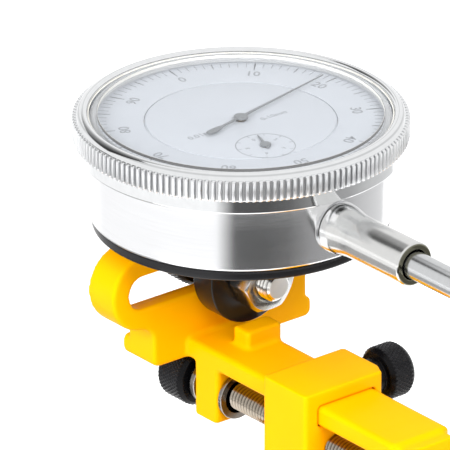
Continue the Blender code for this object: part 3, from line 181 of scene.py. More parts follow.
def meshFrom(name, points, faces):
    mesh = bpy.data.meshes.new(name)
    mesh.from_pydata(points, [], faces)
    return mesh


def workPiece(name, *shapes):
    # one mesh from shapes, each with the matrix that places it
    points, faces = [], []
    for (shapePoints, shapeFaces), matrix in shapes:
        start = len(points)
        points += [matrix @ Vector(point) for point in shapePoints]
        faces += [tuple(start + index for index in face) for face in shapeFaces]
    mesh = meshFrom(name, points, faces)
    cleanMesh(mesh)
    return linked(name, mesh)


def turned(name, profile, sides, place=upright, soft=0.1, steps=4, closed=False):
    outline = softened(profile, soft, steps, closed) if soft else profile
    return workPiece(name, (turnedShape(outline, sides, closed), place))


def rod(name, radius, low, high, place=upright, sides=48, soft=0, steps=4):
    return turned(name, rectangle(0, low, radius, high), sides, place, soft, steps)


def flatRing(name, inner, outer, low, high, place, edge=0.15, sides=64):
    return turned(name, rectangle(inner, low, outer, high), sides, place, edge, closed=True)


def slab(name, outline, low, high, place=upright, edge=0.0, steps=3):
    return workPiece(name, (slabShape(outline, low, high, edge, steps), place))


def cleanMesh(mesh, distance=0.0005):
    work = bmesh.new()
    work.from_mesh(mesh)
    bmesh.ops.remove_doubles(work, verts=work.verts, dist=distance)
    bmesh.ops.dissolve_degenerate(work, edges=work.edges, dist=distance / 5)
    bmesh.ops.recalc_face_normals(work, faces=work.faces)
    work.to_mesh(mesh)
    work.free()


def throwAway(*things):
    for thing in things:
        mesh = thing.data
        bpy.data.objects.remove(thing)
        bpy.data.meshes.remove(mesh)


def evaluatedMesh(thing):
    graph = bpy.context.evaluated_depsgraph_get()
    graph.update()
    return bpy.data.meshes.new_from_object(thing.evaluated_get(graph))


def madePlain(piece):
    # the evaluated result becomes the piece's own mesh
    mesh = evaluatedMesh(piece)
    piece.modifiers.clear()
    old = piece.data
    piece.data = mesh
    bpy.data.meshes.remove(old)
    return piece


def modified(piece, kind, **values):
    step = piece.modifiers.new(kind.lower(), kind)
    for key, value in values.items():
        setattr(step, key, value)


def combined(piece, operation, *tools):
    for tool in tools:
        modified(piece, "BOOLEAN", operation=operation, solver="EXACT", object=tool)
    madePlain(piece)
    throwAway(*tools)


def moulded(piece, voxel, passes):
    # melts joined solids into one skin with soft inside and outside corners, as a mould leaves it
    modified(piece, "REMESH", mode="VOXEL", voxel_size=voxel)
    modified(piece, "SMOOTH", factor=0.5, iterations=passes)
    madePlain(piece)


def joinedUp(piece, *others):
    # several plain meshes become one, without a Boolean
    work = bmesh.new()
    work.from_mesh(piece.data)
    for other in others:
        work.from_mesh(other.data)
    work.to_mesh(piece.data)
    work.free()
    throwAway(*others)
    return piece


def settle(piece, body, slot, finish, *nodes, sharp=35, place=upright):
    # the piece is placed and shrunk to metres, then gets its finish, its body and the nodes it stands for
    mesh = piece.data
    mesh.transform(place)
    mesh.transform(Matrix.Scale(metre, 4))
    mesh.shade_smooth()
    mesh.set_sharp_from_angle(angle=math.radians(sharp))
    mesh.materials.clear()
    mesh.materials.append(finishes[finish])
    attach(piece, body)
    if nodes:
        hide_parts(*nodes)


# Node writing: a wrapped socket does sums as an expression

def mathsNode(operation, flipped=False):
    # an operator between sockets and numbers, flipped for its reflected form
    def use(self, other):
        return self.maths(operation, *((other, self) if flipped else (self, other)))
    return use


class Flow:
    def __init__(self, sheet, socket):
        self.sheet = sheet
        self.socket = socket

    def maths(self, operation, *values):
        return self.sheet.add("ShaderNodeMath", dict(enumerate(values)), operation=operation)

    def by(self, operation, *others):
        return self.maths(operation, self, *others)

    __add__ = __radd__ = mathsNode("ADD")
    __sub__ = mathsNode("SUBTRACT")
    __rsub__ = mathsNode("SUBTRACT", flipped=True)
    __mul__ = __rmul__ = mathsNode("MULTIPLY")
    __truediv__ = mathsNode("DIVIDE")
    __rtruediv__ = mathsNode("DIVIDE", flipped=True)
    smaller = mathsNode("MINIMUM")
    larger = mathsNode("MAXIMUM")


class NodeSheet:
    def __init__(self, tree):
        self.tree = tree
        tree.nodes.clear()

    def feed(self, socket, value):
        if isinstance(value, Flow):
            self.tree.links.new(value.socket, socket)
        elif socket.type == "RGBA":
            socket.default_value = (*value, 1.0)
        else:
            socket.default_value = value

    def add(self, kind, sockets=None, output=0, stops=(), **settings):
        # stops are a ramp's (place, colour), and output=None gives the node itself
        node = self.tree.nodes.new(kind)
        for key, value in settings.items():
            setattr(node, key, value)
        if stops:
            elements = node.color_ramp.elements
            while len(elements) < len(stops):
                elements.new(0.5)
            for element, (place, colour) in zip(elements, stops):
                element.position = place
                element.color = (*colour, 1.0)
        for key, value in (sockets or {}).items():
            self.feed(node.inputs[key], value)
        return node if output is None else Flow(self, node.outputs[output])

    def outs(self, node, *names):
        return [Flow(self, node.outputs[name]) for name in names]

    def split(self, vector, axes):
        return self.outs(self.add("ShaderNodeSeparateXYZ", {0: vector}, None), *axes)

    def vector(self, x, y, z):
        return self.add("ShaderNodeCombineXYZ", {0: x, 1: y, 2: z})

    def rise(self, value, low, high, kind="LINEAR"):
        return self.add("ShaderNodeMapRange", {"Value": value, "From Min": low, "From Max": high},
                        interpolation_type=kind)

    def seenRays(self):
        # 1 for what the camera, a reflection or a clear piece sees
        path = self.add("ShaderNodeLightPath", output=None)
        camera, glossy, through = self.outs(path, "Is Camera Ray", "Is Glossy Ray", "Is Transmission Ray")
        return camera.larger(glossy).larger(through)


class Finish(NodeSheet):
    # a material that starts from one Principled surface
    def __init__(self, name, colour, roughness, metallic=0.0, specular=0.5):
        self.material = bpy.data.materials.new(name)
        self.material.use_nodes = True
        super().__init__(self.material.node_tree)
        self.surface = self.add("ShaderNodeBsdfPrincipled", output=None)
        self.end = self.add("ShaderNodeOutputMaterial", output=None)
        self.show(*self.outs(self.surface, 0))
        self.set("Base Color", colour)
        self.set("Roughness", roughness)
        self.set("Metallic", metallic)
        self.set("Specular IOR Level", specular)
        self.material.diffuse_color = (*colour, 1.0)

    def show(self, shader):
        self.feed(self.end.inputs[0], shader)

    def set(self, name, value):
        self.feed(self.surface.inputs[name], value)

    def place(self, stretch=(1, 1, 1), centre=(0, 0, 0)):
        spot = self.add("ShaderNodeTexCoord", output="Object")
        offset = [-scale * middle for scale, middle in zip(stretch, centre)]
        return self.add("ShaderNodeMapping", {"Vector": spot, "Scale": stretch, "Location": offset})

    def dialPlace(self):
        # radius and height from the dial's axis, in millimetres
        x, y, z = self.split(self.place(centre=(dial.x * metre, dial.y * metre, dial.z * metre)), "XYZ")
        return (x * x + y * y).by("SQRT") * 1000, z * 1000

    def noise(self, scale, detail=2.0, roughness=0.5, stretch=(1, 1, 1)):
        return self.add("ShaderNodeTexNoise", {"Vector": self.place(stretch), "Scale": scale,
                                               "Detail": detail, "Roughness": roughness})

    def blend(self, factor, one, two):
        return self.add("ShaderNodeMix", {0: factor, 6: one, 7: two}, 2, data_type="RGBA", clamp_factor=True)

    def bump(self, height, strength, distance):
        self.set("Normal", self.add("ShaderNodeBump", {"Height": height, "Strength": strength,
                                                       "Distance": distance}))

    def edges(self, start, end):
        # 0 in hollows to 1 on outside corners
        return self.rise(self.add("ShaderNodeNewGeometry", output="Pointiness"), start, end)


# Finishes. Each of these has one or two tones in a cloud of noise (scale, detail). Roots and crests
# are (start, end, colour) where the surface bends, and roughness gains spread times the grain.

recipes = dict(
    knob=dict(name="knobBlack", one=(0.003, 0.003, 0.0035), cloud=(900.0, 2.0), patchy=True,
              crests=(0.53, 0.62, (0.02, 0.02, 0.022)), grain=(3800.0, 2.0), roughness=0.20, spread=0.14,
              bump=("grain", 0.16, 0.00004), specular=0.12),
    enamel=dict(name="backEnamel", one=(0.007, 0.007, 0.008), cloud=(1100.0, 2.0),
                crests=(0.53, 0.64, (0.03, 0.03, 0.033)), roughness=0.18, spread=0.12,
                bump=("cloud", 0.06, 0.00003), specular=0.3),
    # the screws' thread roots are near black: painted shade
    screw=dict(name="screwSteel", one=(0.50, 0.45, 0.38), two=(0.34, 0.29, 0.23), cloud=(480.0, 3.0),
               gain=1.3, roots=(0.44, 0.53, (0.05, 0.035, 0.02)), roughness=0.15, spread=0.12, metal=1.0),
    # the clip's near-white crests are a painted highlight; the thrust washer shares this finish
    clip=dict(name="clipSteel", one=(0.20, 0.18, 0.15), two=(0.10, 0.09, 0.08), cloud=(600.0, 3.0),
              crests=(0.52, 0.58, (0.90, 0.89, 0.86)), roughness=0.16, spread=0.12, metal=1.0),
    brass=dict(name="brassPlate", one=(0.82, 0.62, 0.30), two=(0.60, 0.43, 0.18), cloud=(500.0, 3.0),
               stretch=(1.0, 14.0, 1.0), gain=1.2, grain=(900.0, 2.0), roughness=0.22, spread=0.16,
               bump=("cloud", 0.06, 0.00003), metal=1.0),
    nylon=dict(name="paleNylon", one=(0.84, 0.83, 0.79), two=(0.70, 0.68, 0.62), cloud=(700.0, 2.0),
               roughness=0.38, spread=0.16),
    rubber=dict(name="padRubber", one=(0.022, 0.022, 0.022), two=(0.05, 0.05, 0.048),
                cloud=(300.0, 2.0), grain=(2600.0, 2.0), roughness=0.62, spread=0.25,
                bump=("grain", 0.3, 0.00006)),
    # near-black rubber tone, used only for the painted-shade ring inside the cover's edge
    shadowLineRubber=dict(name="gasketRubber", one=(0.03, 0.031, 0.034), cloud=(1500.0, 2.0), roughness=0.4,
                spread=0.2),
    card=dict(name="dialCard", one=(0.50, 0.52, 0.555), two=(0.475, 0.495, 0.53), cloud=(260.0, 3.0),
              gain=1.4, grain=(4200.0, 1.0), roughness=0.48, spread=0.14),
    ink=dict(name="dialInk", one=(0.20, 0.21, 0.23), two=(0.30, 0.31, 0.33), cloud=(1500.0, 2.0),
             gain=1.5, roughness=0.5),
    hand=dict(name="handEnamel", one=(0.17, 0.18, 0.19), two=(0.23, 0.24, 0.25), cloud=(800.0, 2.0),
              roughness=0.26, spread=0.14, metal=0.35),
)


def mixedFinish(name, one, cloud, roughness, two=None, gain=1.0, stretch=(1, 1, 1), grain=None, spread=0.0,
                roots=None, crests=None, patchy=False, bump=None, metal=0.0, specular=0.5):
    finish = Finish(name, one, roughness, metal, specular)
    sources = dict(cloud=finish.noise(*cloud, stretch=stretch))
    sources["grain"] = finish.noise(*grain) if grain else sources["cloud"]
    tone = finish.blend(sources["cloud"] * gain - (gain - 1) / 2, one, two) if two else one
    # roots darken the hollows; for the screws this is painted shade in the thread roots
    if roots:
        tone = finish.blend(finish.edges(*roots[:2]), roots[2], tone)
    # crests lighten outside corners: wear on the knobs and the dial back, a painted highlight on the clip and
    # thrust washer
    if crests:
        wearAndHighlight = finish.edges(*crests[:2])
        tone = finish.blend(wearAndHighlight * sources["cloud"] if patchy else wearAndHighlight, tone, crests[2])
    finish.set("Base Color", tone)
    if spread:
        finish.set("Roughness", roughness + sources["grain"] * spread)
    if bump:
        finish.bump(sources[bump[0]], *bump[1:])
    return finish.material


yellow = Sizes(body=(0.96, 0.45, 0.0), deep=(0.95, 0.41, 0.0), rubbed=(1.0, 0.50, 0.0), roughness=0.40)


def mouldedYellow(paint):
    finish = Finish("mouldedYellow", paint.body, paint.roughness, specular=0.04)
    flow = finish.noise(420.0, 2.0, stretch=(1.0, 0.25, 0.25))
    grain = finish.noise(5200.0, 1.0)
    tone = finish.blend(finish.noise(90.0, 3.0) * 1.4 - 0.2, paint.body, paint.deep)
    finish.set("Base Color", finish.blend(finish.edges(0.52, 0.60) * 0.5, tone, paint.rubbed))
    finish.set("Roughness", paint.roughness - 0.06 + flow * 0.10 + grain * 0.06)
    finish.bump(grain + flow * 0.6, 0.12, 0.00004)
    return finish.material


def springWire(colour=(0.55, 0.55, 0.57), roughness=0.24):
    finish = Finish("springWire", colour, roughness, 1.0)
    cloud = finish.noise(700.0, 3.0)
    marks = finish.noise(4200.0, 2.0, stretch=(1.0, 1.0, 0.08))
    finish.set("Base Color", finish.blend(cloud * 1.2 - 0.1, colour, tuple(part * 0.9 for part in colour)))
    finish.set("Roughness", roughness + cloud * 0.05 + marks * 0.03)
    finish.bump(marks, 0.03, 0.00002)
    return finish.material


# tones and places on the bezel, in millimetres: radii of groove and band, heights of the rows between
# the ribs, radii and softness of the lip's two painted reflection lines, height of the lip; the groove tone
# is painted shade
bezelMarks = Sizes(bright=(0.86, 0.87, 0.88), dull=(0.78, 0.79, 0.80), line=(0.40, 0.41, 0.42),
                   grime=(0.60, 0.605, 0.615), groove=(29.2, 29.66), band=(29.2, 31.0), rows=(16.62, 20.3),
                   lines=((27.95, 28.05, 0.06), (28.65, 28.9, 0.1)), lip=20.45, roughness=0.06)


def bezelChrome(marks):
    # polished ring: the grooves between its ribs get a grey tone that is painted shade, and its lip shows two
    # painted reflection lines
    finish = Finish("bezelChrome", marks.bright, marks.roughness, 1.0)
    radius, height = finish.dialPlace()

    def between(value, low, high, soft=0.1):
        rise = finish.rise(value, low - soft, low + soft, "SMOOTHSTEP")
        return rise * (1 - finish.rise(value, high - soft, high + soft, "SMOOTHSTEP"))

    rows = between(height, *marks.rows, 0.08)
    # the lip's two grey lines are painted reflections
    lines = between(radius, *marks.lines[0]) + between(radius, *marks.lines[1])
    onLip = (height.larger(marks.lip) - marks.lip).smaller(0.1) * 5
    cloud = finish.noise(700.0, 3.0)
    ground = finish.blend(cloud * 1.2 - 0.1, marks.bright, marks.dull)
    lined = finish.blend(lines * onLip, ground, marks.line)
    # the grooves between the ribs turn grey: painted shade
    finish.set("Base Color", finish.blend(between(radius, *marks.groove) * rows, lined, marks.grime))
    finish.set("Roughness", marks.roughness + cloud * 0.05 + between(radius, *marks.band) * rows * 0.24)
    return finish.material


def turnedMetal(name, colour, roughness, axis, pitch, lined, dullEnd=None):
    # fine tool lines round a turned part's axis, and a stained end face where dullEnd says
    finish = Finish(name, colour, roughness, 1.0)
    stretch = tuple(0.25 / pitch if axis == other else 60.0 for other in "XYZ")
    lines = finish.noise(1.0, 3.0, 0.7, stretch)
    tone = finish.blend(lines * 1.6 - 0.4, tuple(part * lined for part in colour), colour)
    if dullEnd:
        stain = finish.rise(finish.split(finish.place(), axis)[0], dullEnd - 0.0001, dullEnd)
        tone = finish.blend(stain, tone, (0.17, 0.165, 0.12))
    finish.set("Base Color", tone)
    finish.set("Roughness", roughness + lines * 0.06 + finish.noise(260.0, 2.0) * 0.05)
    finish.bump(lines, 0.01, 0.00002)
    return finish.material


def brightZinc():
    # zinc plate in warm and cool patches
    finish = Finish("brightZinc", (0.80, 0.79, 0.76), 0.2, 1.0)
    patches = [(0.25, (0.74, 0.68, 0.55)), (0.5, (0.66, 0.66, 0.64)), (0.75, (0.62, 0.64, 0.67))]
    cloud = finish.noise(330.0, 2.0)
    finish.set("Base Color", finish.add("ShaderNodeValToRGB", {"Fac": cloud}, stops=patches))
    finish.set("Roughness", 0.14 + finish.noise(2400.0, 2.0) * 0.14)
    finish.bump(finish.noise(3600.0, 1.0), 0.05, 0.00003)
    return finish.material


def boltZinc():
    # bright zinc thread, near black in its roots as painted shade, and a sawn end face
    finish = Finish("boltZinc", (0.80, 0.79, 0.75), 0.2, 1.0)
    patch = finish.noise(520.0, 2.0)
    ground = finish.blend(patch, (0.86, 0.83, 0.76), (0.74, 0.75, 0.76))
    end = (dial.x + screws["mountBolt"].high - 0.1) * metre
    sawn = ((finish.split(finish.place(), "X")[0].larger(end) - end) * 50000).smaller(1.0)
    # the thread roots go near black: painted shade
    crest = finish.edges(0.44, 0.53).larger(sawn)
    finish.set("Base Color", finish.blend(crest, (0.05, 0.045, 0.04), ground))
    finish.set("Roughness", 0.14 + patch * 0.08 + sawn * 0.22)
    return finish.material


def clearCover(size):
    # thin clear moulding: the card shows through it, its skirt is faintly hazy and turns white where seen
    # from behind, a painted highlight, and Fresnel adds the studio
    finish = Finish("clearCover", (0.96, 0.97, 0.98), 0.05)
    behind = finish.add("ShaderNodeNewGeometry", output="Backfacing")
    smear = finish.noise(160.0, 3.0)
    gloss = finish.add("ShaderNodeBsdfGlossy", {"Color": (1, 1, 1), "Roughness": 0.03 + smear * 0.04})
    through = finish.add("ShaderNodeBsdfTransparent", {"Color": (0.975, 0.98, 0.985)})
    edge = finish.add("ShaderNodeFresnel", {"IOR": 1.49}) * (1 - behind)
    clear = finish.add("ShaderNodeMixShader", {0: edge, 1: through, 2: gloss})
    # the skirt gets a faint haze, and much more white where it is seen from behind: a painted highlight on
    # the far wall
    skirt = finish.rise(finish.dialPlace()[0], *size.hazeStart)
    skirtHazeAndHighlight = finish.add("ShaderNodeBsdfDiffuse", {"Color": (0.88, 0.885, 0.89)})
    finish.show(finish.add("ShaderNodeMixShader", {0: skirt * (0.10 + behind * 0.72), 1: clear, 2: skirtHazeAndHighlight}))
    return finish.material


# every thread's size along its own line
screws = dict(
    leadScrew=Sizes(radius=2.45, depth=0.36, pitch=0.8, low=-37.45, high=27.55, chamfer=0.15),
    lockScrew=Sizes(radius=2.45, depth=0.36, pitch=0.8, low=7.9, high=16.9, chamfer=0.45),
    clampScrew=Sizes(radius=2.9, depth=0.45, pitch=1.0, low=-61.7, high=-27.8, chamfer=0.5),
    mountBolt=Sizes(radius=2.9, depth=0.5, pitch=0.8, low=-15.4, high=10.8, chamfer=0.35))
# line, lineLow and lineHigh place the painted-shade ring inside the cover's edge and its pale lining
cover = Sizes(low=19.5, top=21.1, outer=26.9, skirt=1.3, thick=0.7, bevel=0.9, sealLow=20.5, sealTop=20.75,
              line=25.4, lineLow=20.45, lineHigh=21.0, hazeStart=(25.45, 25.6))

finishes = {key: mixedFinish(**recipe) for key, recipe in recipes.items()}
finishes.update(
    yellow=mouldedYellow(yellow), zinc=brightZinc(), bolt=boltZinc(), bezel=bezelChrome(bezelMarks),
    case=turnedMetal("caseChrome", (0.88, 0.885, 0.90), 0.09, "Z", 0.00012, 0.95),
    stem=turnedMetal("stemChrome", (0.76, 0.76, 0.75), 0.12, "X", 0.0003, 0.93, dullEnd=0.0192),
    spindle=turnedMetal("spindleSteel", (0.66, 0.67, 0.68), 0.13, "X", 0.0003, 0.93),
    cover=clearCover(cover), wire=springWire())
print("finishes mixed:", len(finishes))


# Node trees that grow what repeats

def newTree(name, **kinds):
    tree = bpy.data.node_groups.new(name, "GeometryNodeTree")
    tree.interface.new_socket("shape", in_out="INPUT", socket_type="NodeSocketGeometry")
    for label, kind in kinds.items():
        tree.interface.new_socket(label, in_out="INPUT", socket_type="NodeSocket" + kind)
    tree.interface.new_socket("shape", in_out="OUTPUT", socket_type="NodeSocketGeometry")
    sheet = NodeSheet(tree)
    start = sheet.add("NodeGroupInput", output=None)
    return sheet, Sizes((label, Flow(sheet, start.outputs[label])) for label in kinds)


def endTree(sheet, given, shape):
    whole = sheet.add("GeometryNodeRealizeInstances", {"Geometry": shape})
    coloured = sheet.add("GeometryNodeSetMaterial", {"Geometry": whole, "Material": given.finish})
    sheet.add("NodeGroupOutput", {0: coloured}, None)
    return sheet.tree


def grown(name, tree, finish, **values):
    # runs a tree on an empty piece and keeps the plain result
    piece = linked(name, bpy.data.meshes.new(name))
    step = piece.modifiers.new(name, "NODES")
    step.node_group = tree
    values["finish"] = finishes[finish]
    for item in tree.interface.items_tree:
        if item.name in values:
            step[item.identifier] = values[item.name]
    return madePlain(piece)


def ringTree():
    # one object set round an axis in rows, each facing outwards
    sheet, given = newTree("roundTheRim", repeated="Object", count="Int", rows="Int", radius="Float",
                           low="Float", rowGap="Float", stagger="Float", firstAngle="Float",
                           finish="Material")
    index = sheet.add("GeometryNodeInputIndex")
    row = (index / given.count + 0.0001).by("FLOOR")
    column = index - row * given.count
    angle = given.firstAngle + (column + row * given.stagger) / given.count * (2 * math.pi)
    where = sheet.vector(given.radius * angle.by("COSINE"), given.radius * angle.by("SINE"),
                         given.low + row * given.rowGap)
    spots = sheet.add("GeometryNodePoints", {"Count": given.count * given.rows, "Position": where})
    facing = sheet.add("FunctionNodeEulerToRotation", {0: sheet.vector(0.0, 0.0, angle)})
    thing = sheet.add("GeometryNodeObjectInfo", {"Object": given.repeated}, "Geometry")
    return endTree(sheet, given, sheet.add("GeometryNodeInstanceOnPoints", {
        "Points": spots, "Instance": thing, "Rotation": facing}))


def threadTree():
    # a skin wound as one helix, four rows to a turn: crest, flank, root, flank. Both ends are closed
    sheet, given = newTree("woundThread", radius="Float", depth="Float", pitch="Float", low="Float",
                           high="Float", chamfer="Float", rows="Int", sides="Int", finish="Material")
    grid = sheet.add("GeometryNodeMeshGrid", {"Size X": 1.0, "Size Y": 1.0, "Vertices X": given.sides,
                                              "Vertices Y": given.rows}, "Mesh")
    across, along = sheet.split(sheet.add("GeometryNodeInputPosition"), "XY")
    turn = across + 0.5
    row = ((along + 0.5) * (given.rows - 1) + 0.5).by("FLOOR")
    angle = turn * (2 * math.pi)
    height = (given.low + given.pitch * (row / 4 - 2 + turn)).larger(given.low).smaller(given.high)
    ridge = (row / 4 - (row / 4 + 0.001).by("FLOOR") - 0.5).by("ABSOLUTE") * 2
    crest = given.radius - given.depth * (1 - ridge)
    inEnd = (height - given.low).smaller(given.high - height)
    ends = inEnd + given.radius - given.depth - given.chamfer
    inside = row.by("COMPARE", 0.0, 0.1) + row.by("COMPARE", given.rows - 1, 0.1)
    real = crest.smaller(ends) * (1 - inside)
    spot = sheet.vector(real * angle.by("COSINE"), real * angle.by("SINE"), height)
    moved = sheet.add("GeometryNodeSetPosition", {"Geometry": grid, "Position": spot})
    return endTree(sheet, given, sheet.add("GeometryNodeMergeByDistance", {
        "Geometry": moved, "Distance": 0.0005}))


trees = dict(ring=ringTree(), thread=threadTree())


def ringOf(name, repeated, finish, count, radius, low, rows=1, rowGap=0.0, stagger=0.0, firstAngle=0.0):
    piece = grown(name, trees["ring"], finish, repeated=repeated, count=count, rows=rows, radius=radius,
                  low=low, rowGap=rowGap, stagger=stagger, firstAngle=firstAngle)
    throwAway(repeated)
    return piece


def threaded(name, finish, size):
    rows = int((size.high - size.low) / size.pitch * 4) + 14
    piece = grown(name, trees["thread"], finish, rows=rows, sides=33, **size)
    cleanMesh(piece.data)
    return piece


# Bracket: slotted plate, web, flange, rail, post and legs in one moulding

bracket = Sizes(
    voxel=0.34, passes=2, plateBack=-38.15, plateFront=-30.95, plateLeft=-23.2, plateRight=21.2,
    plateHalf=7.35, boltZ=30.4, plateCorner=2.0, webLeft=-14.0, webFillet=3.0, flangeBack=-40.05,
    flangeRight=22.4, flangeCorner=1.2, railHalf=6.5, railLow=14.9, railHigh=18.7, railFront=25.65,
    railCorner=0.8, tongue=3.0, tongueInset=0.9, slotHalf=3.2, slotStart=-16.2, slotEnd=13.6,
    recessHalf=5.5, slotSkin=2.5, postNear=-1.3, postBack=-24.45, postFront=-20.05, postTop=22.0,
    postCorner=0.5, legLow=4.7, legBack=-28.95, legFront=-22.45, legRight=2.0, legCorner=0.6,
    endLegBack=20.55, screwY=-2.25, screwZ=9.55, bore=2.75, knobRoom=6.0)
screwLine = at(0, bracket.screwY, bracket.screwZ, alongX)
boltLine = at(dial.x, dial.y, bracket.boltZ, alongX)


def plateOutline(size):
    left = size.plateLeft + size.plateHalf
    fillet, corner, foot = size.webFillet, size.plateCorner, size.railLow + 2
    reach = size.plateHalf + fillet
    across = left - (size.webLeft - fillet)
    drop = math.sqrt(reach ** 2 - across ** 2)
    tangent = math.degrees(math.atan2(drop, across))
    top = size.boltZ + size.plateHalf
    points = arcPoints(size.plateRight - corner, top - corner, corner, 0, 90, 8)
    points += arcPoints(left, size.boltZ, size.plateHalf, 90, 180 + tangent, 40)
    points += arcPoints(size.webLeft - fillet, size.boltZ - drop, fillet, tangent, 0, 8)
    return points + [(size.webLeft, foot), (size.plateRight, foot)]


def makeBracket(size):
    half, low, high = size.railHalf, size.railLow, size.railHigh
    inner, middle = half - size.tongueInset, (low + high) / 2
    blocks = [
        (boxOutline(-half, low, half, high, size.railCorner), size.flangeBack, size.railFront, alongX),
        (boxOutline(size.webLeft, low, size.flangeRight, high, size.flangeCorner), size.flangeBack,
         size.plateFront, alongX),
        (plateOutline(size), size.plateBack, size.plateFront, alongX),
        (boxOutline(size.postBack, size.postNear, size.postFront, half, size.postCorner), middle,
         size.postTop, upright),
        (boxOutline(size.legBack, -half, size.legFront, size.legRight, size.legCorner), size.legLow,
         middle, upright),
        (boxOutline(size.endLegBack, -half + 1, size.railFront, size.legRight - 1, size.legCorner),
         size.legLow, middle, upright),
        (boxOutline(-inner, low + 0.3, inner, high - 0.6, size.legCorner), size.railFront - 2,
         size.railFront + size.tongue, alongX)]
    piece = workPiece("slottedBracket", *[(slabShape(*block[:3]), block[3]) for block in blocks])
    moulded(piece, size.voxel, 1)
    slot = slotOutline(size.slotStart, size.slotEnd, size.boltZ, size.slotHalf)
    recess = slotOutline(size.slotStart, size.slotEnd, size.boltZ, size.recessHalf)
    over = 3
    combined(piece, "DIFFERENCE",
             slab("slotTool", slot, size.plateBack - over, size.plateFront + over, alongX),
             slab("recessTool", recess, size.plateBack - over, size.plateFront - size.slotSkin, alongX),
             rod("boreTool", size.bore, size.legBack - over, size.railFront + 2 * over, screwLine),
             rod("knobTool", size.knobRoom, size.flangeBack - over, size.legBack, screwLine, 64))
    moulded(piece, size.voxel, size.passes)
    settle(piece, "rail", "yellow_plastic", "yellow", "rail_bracket", sharp=60)
    print("bracket moulded:", len(piece.data.polygons), "faces")


makeBracket(bracket)


# Carriage: sleeve round the rail over a C-shaped jaw

carriage = Sizes(
    voxel=0.34, passes=2, half=5.95, near=-9.6, far=9.1, low=1.0, top=21.5, corner=0.8, cut=(2.4, 1.2),
    jawTop=3.5, vee=4.0, veeSlope=30.0, jawReach=10.5, jawCorner=2.0, stay=15.0, spine=6.0, armTop=-36.0,
    armLow=-44.0, windowGap=0.14, insertBore=4.15, insertLength=5.8, lockX=-1.1, lockZ=16.8, clampBore=4.8)
lockLine = at(carriage.lockX, 0, carriage.lockZ, alongY)


def jawOutline(size):
    mouth = size.vee / math.tan(math.radians(size.veeSlope))
    corner, low = size.jawCorner, -size.vee
    inner, outer = size.stay - corner, size.stay + size.spine - corner
    tip = corner - size.jawReach
    points = [(-size.jawReach, low), (-mouth, low), (0, 0), (mouth, low)]
    return points + arcCorners(
        corner, (inner, low - corner, 90, 0), (inner, size.armTop + corner, 0, -90),
        (tip, size.armTop - corner, 90, 180), (tip, size.armLow + corner, 180, 270),
        (outer, size.armLow + corner, -90, 0), (outer, size.jawTop - corner, 0, 90),
        (tip, size.jawTop - corner, 90, 180))


def makeCarriage(size):
    half, near, far, corner = size.half, size.near, size.far, size.corner
    side = half - corner
    plan = arcCorners(corner, (side, near + corner, -90, 0))
    plan += [(half, far - size.cut[1]), (half - size.cut[0], far)]
    plan += arcCorners(corner, (-side, far - corner, 90, 180), (-side, near + corner, 180, 270))
    piece = workPiece("carriageSleeve", (slabShape(jawOutline(size), -far, -near), frontProfile),
                      (slabShape(plan, size.low, size.top), upright))
    moulded(piece, size.voxel, 1)
    gap = size.windowGap
    wide = bracket.railHalf + gap
    window = boxOutline(-wide, bracket.railLow - gap, wide, bracket.railHigh + gap, 0.3)
    over = 3
    start, end = -half - over, half + over
    combined(piece, "DIFFERENCE", slab("windowTool", window, start, end, alongX),
             rod("screwTool", bracket.bore, start, end, screwLine),
             rod("insertTool", size.insertBore, start, size.insertLength - half, screwLine),
             rod("lockTool", bracket.bore, bracket.railHalf, far + over, lockLine),
             rod("clampTool", size.clampBore, size.armLow - over, size.armTop + over))
    moulded(piece, size.voxel, size.passes)
    settle(piece, "carriage", "yellow_plastic", "yellow", "carriage_block", sharp=60)
    print("carriage moulded:", len(piece.data.polygons), "faces")


makeCarriage(carriage)


# Knurled knobs

def knurlTip(width, length, height):
    # one low diamond of a knurl, standing along X
    wide, tall = width / 2, length / 2
    points = [(0, -wide, 0), (0, 0, -tall), (0, wide, 0), (0, 0, tall), (height, 0, 0), (-height, 0, 0)]
    faces = []
    for one, two in ((0, 1), (1, 2), (2, 3), (3, 0)):
        faces += [(one, two, 4), (two, one, 5)]
    return workPiece("knurlTip", ((points, faces), upright))


def makeKnob(name, body, node, place, size):
    start, end = size.hubLength, size.hubLength + size.length
    chamfer, brim = size.chamfer, size.radius - size.chamfer
    core = size.radius - size.knurlDepth
    collar = [(size.hubRadius, 0, 0.25), (size.hubRadius, start, 0.3)] if start > 0 else []
    profile = [(0, 0), *collar, (brim, start, 0.15), (core, start + chamfer, 0.15),
               (core, end - chamfer, 0.15), (brim, end, 0.25), (size.dish, end, 0.3),
               (size.dish - 0.5, end - size.dishDepth, 0.3), (0, end - size.dishDepth)]
    piece = turned(name, profile, 96, soft=0.2)
    low, high = start + chamfer + 0.1, end - chamfer - 0.1
    pitch = 2 * math.pi * size.radius / size.count
    rows = max(2, int((high - low) / (pitch * size.slant / 2)))
    gap = (high - low) / rows
    tip = knurlTip(pitch * 0.96, gap * 1.92, size.knurlDepth)
    joinedUp(piece, ringOf("knurl", tip, "knob", size.count, core + 0.01, low + gap / 2, rows, gap, 0.5))
    settle(piece, body, "black_plastic", "knob", node, sharp=25, place=place)


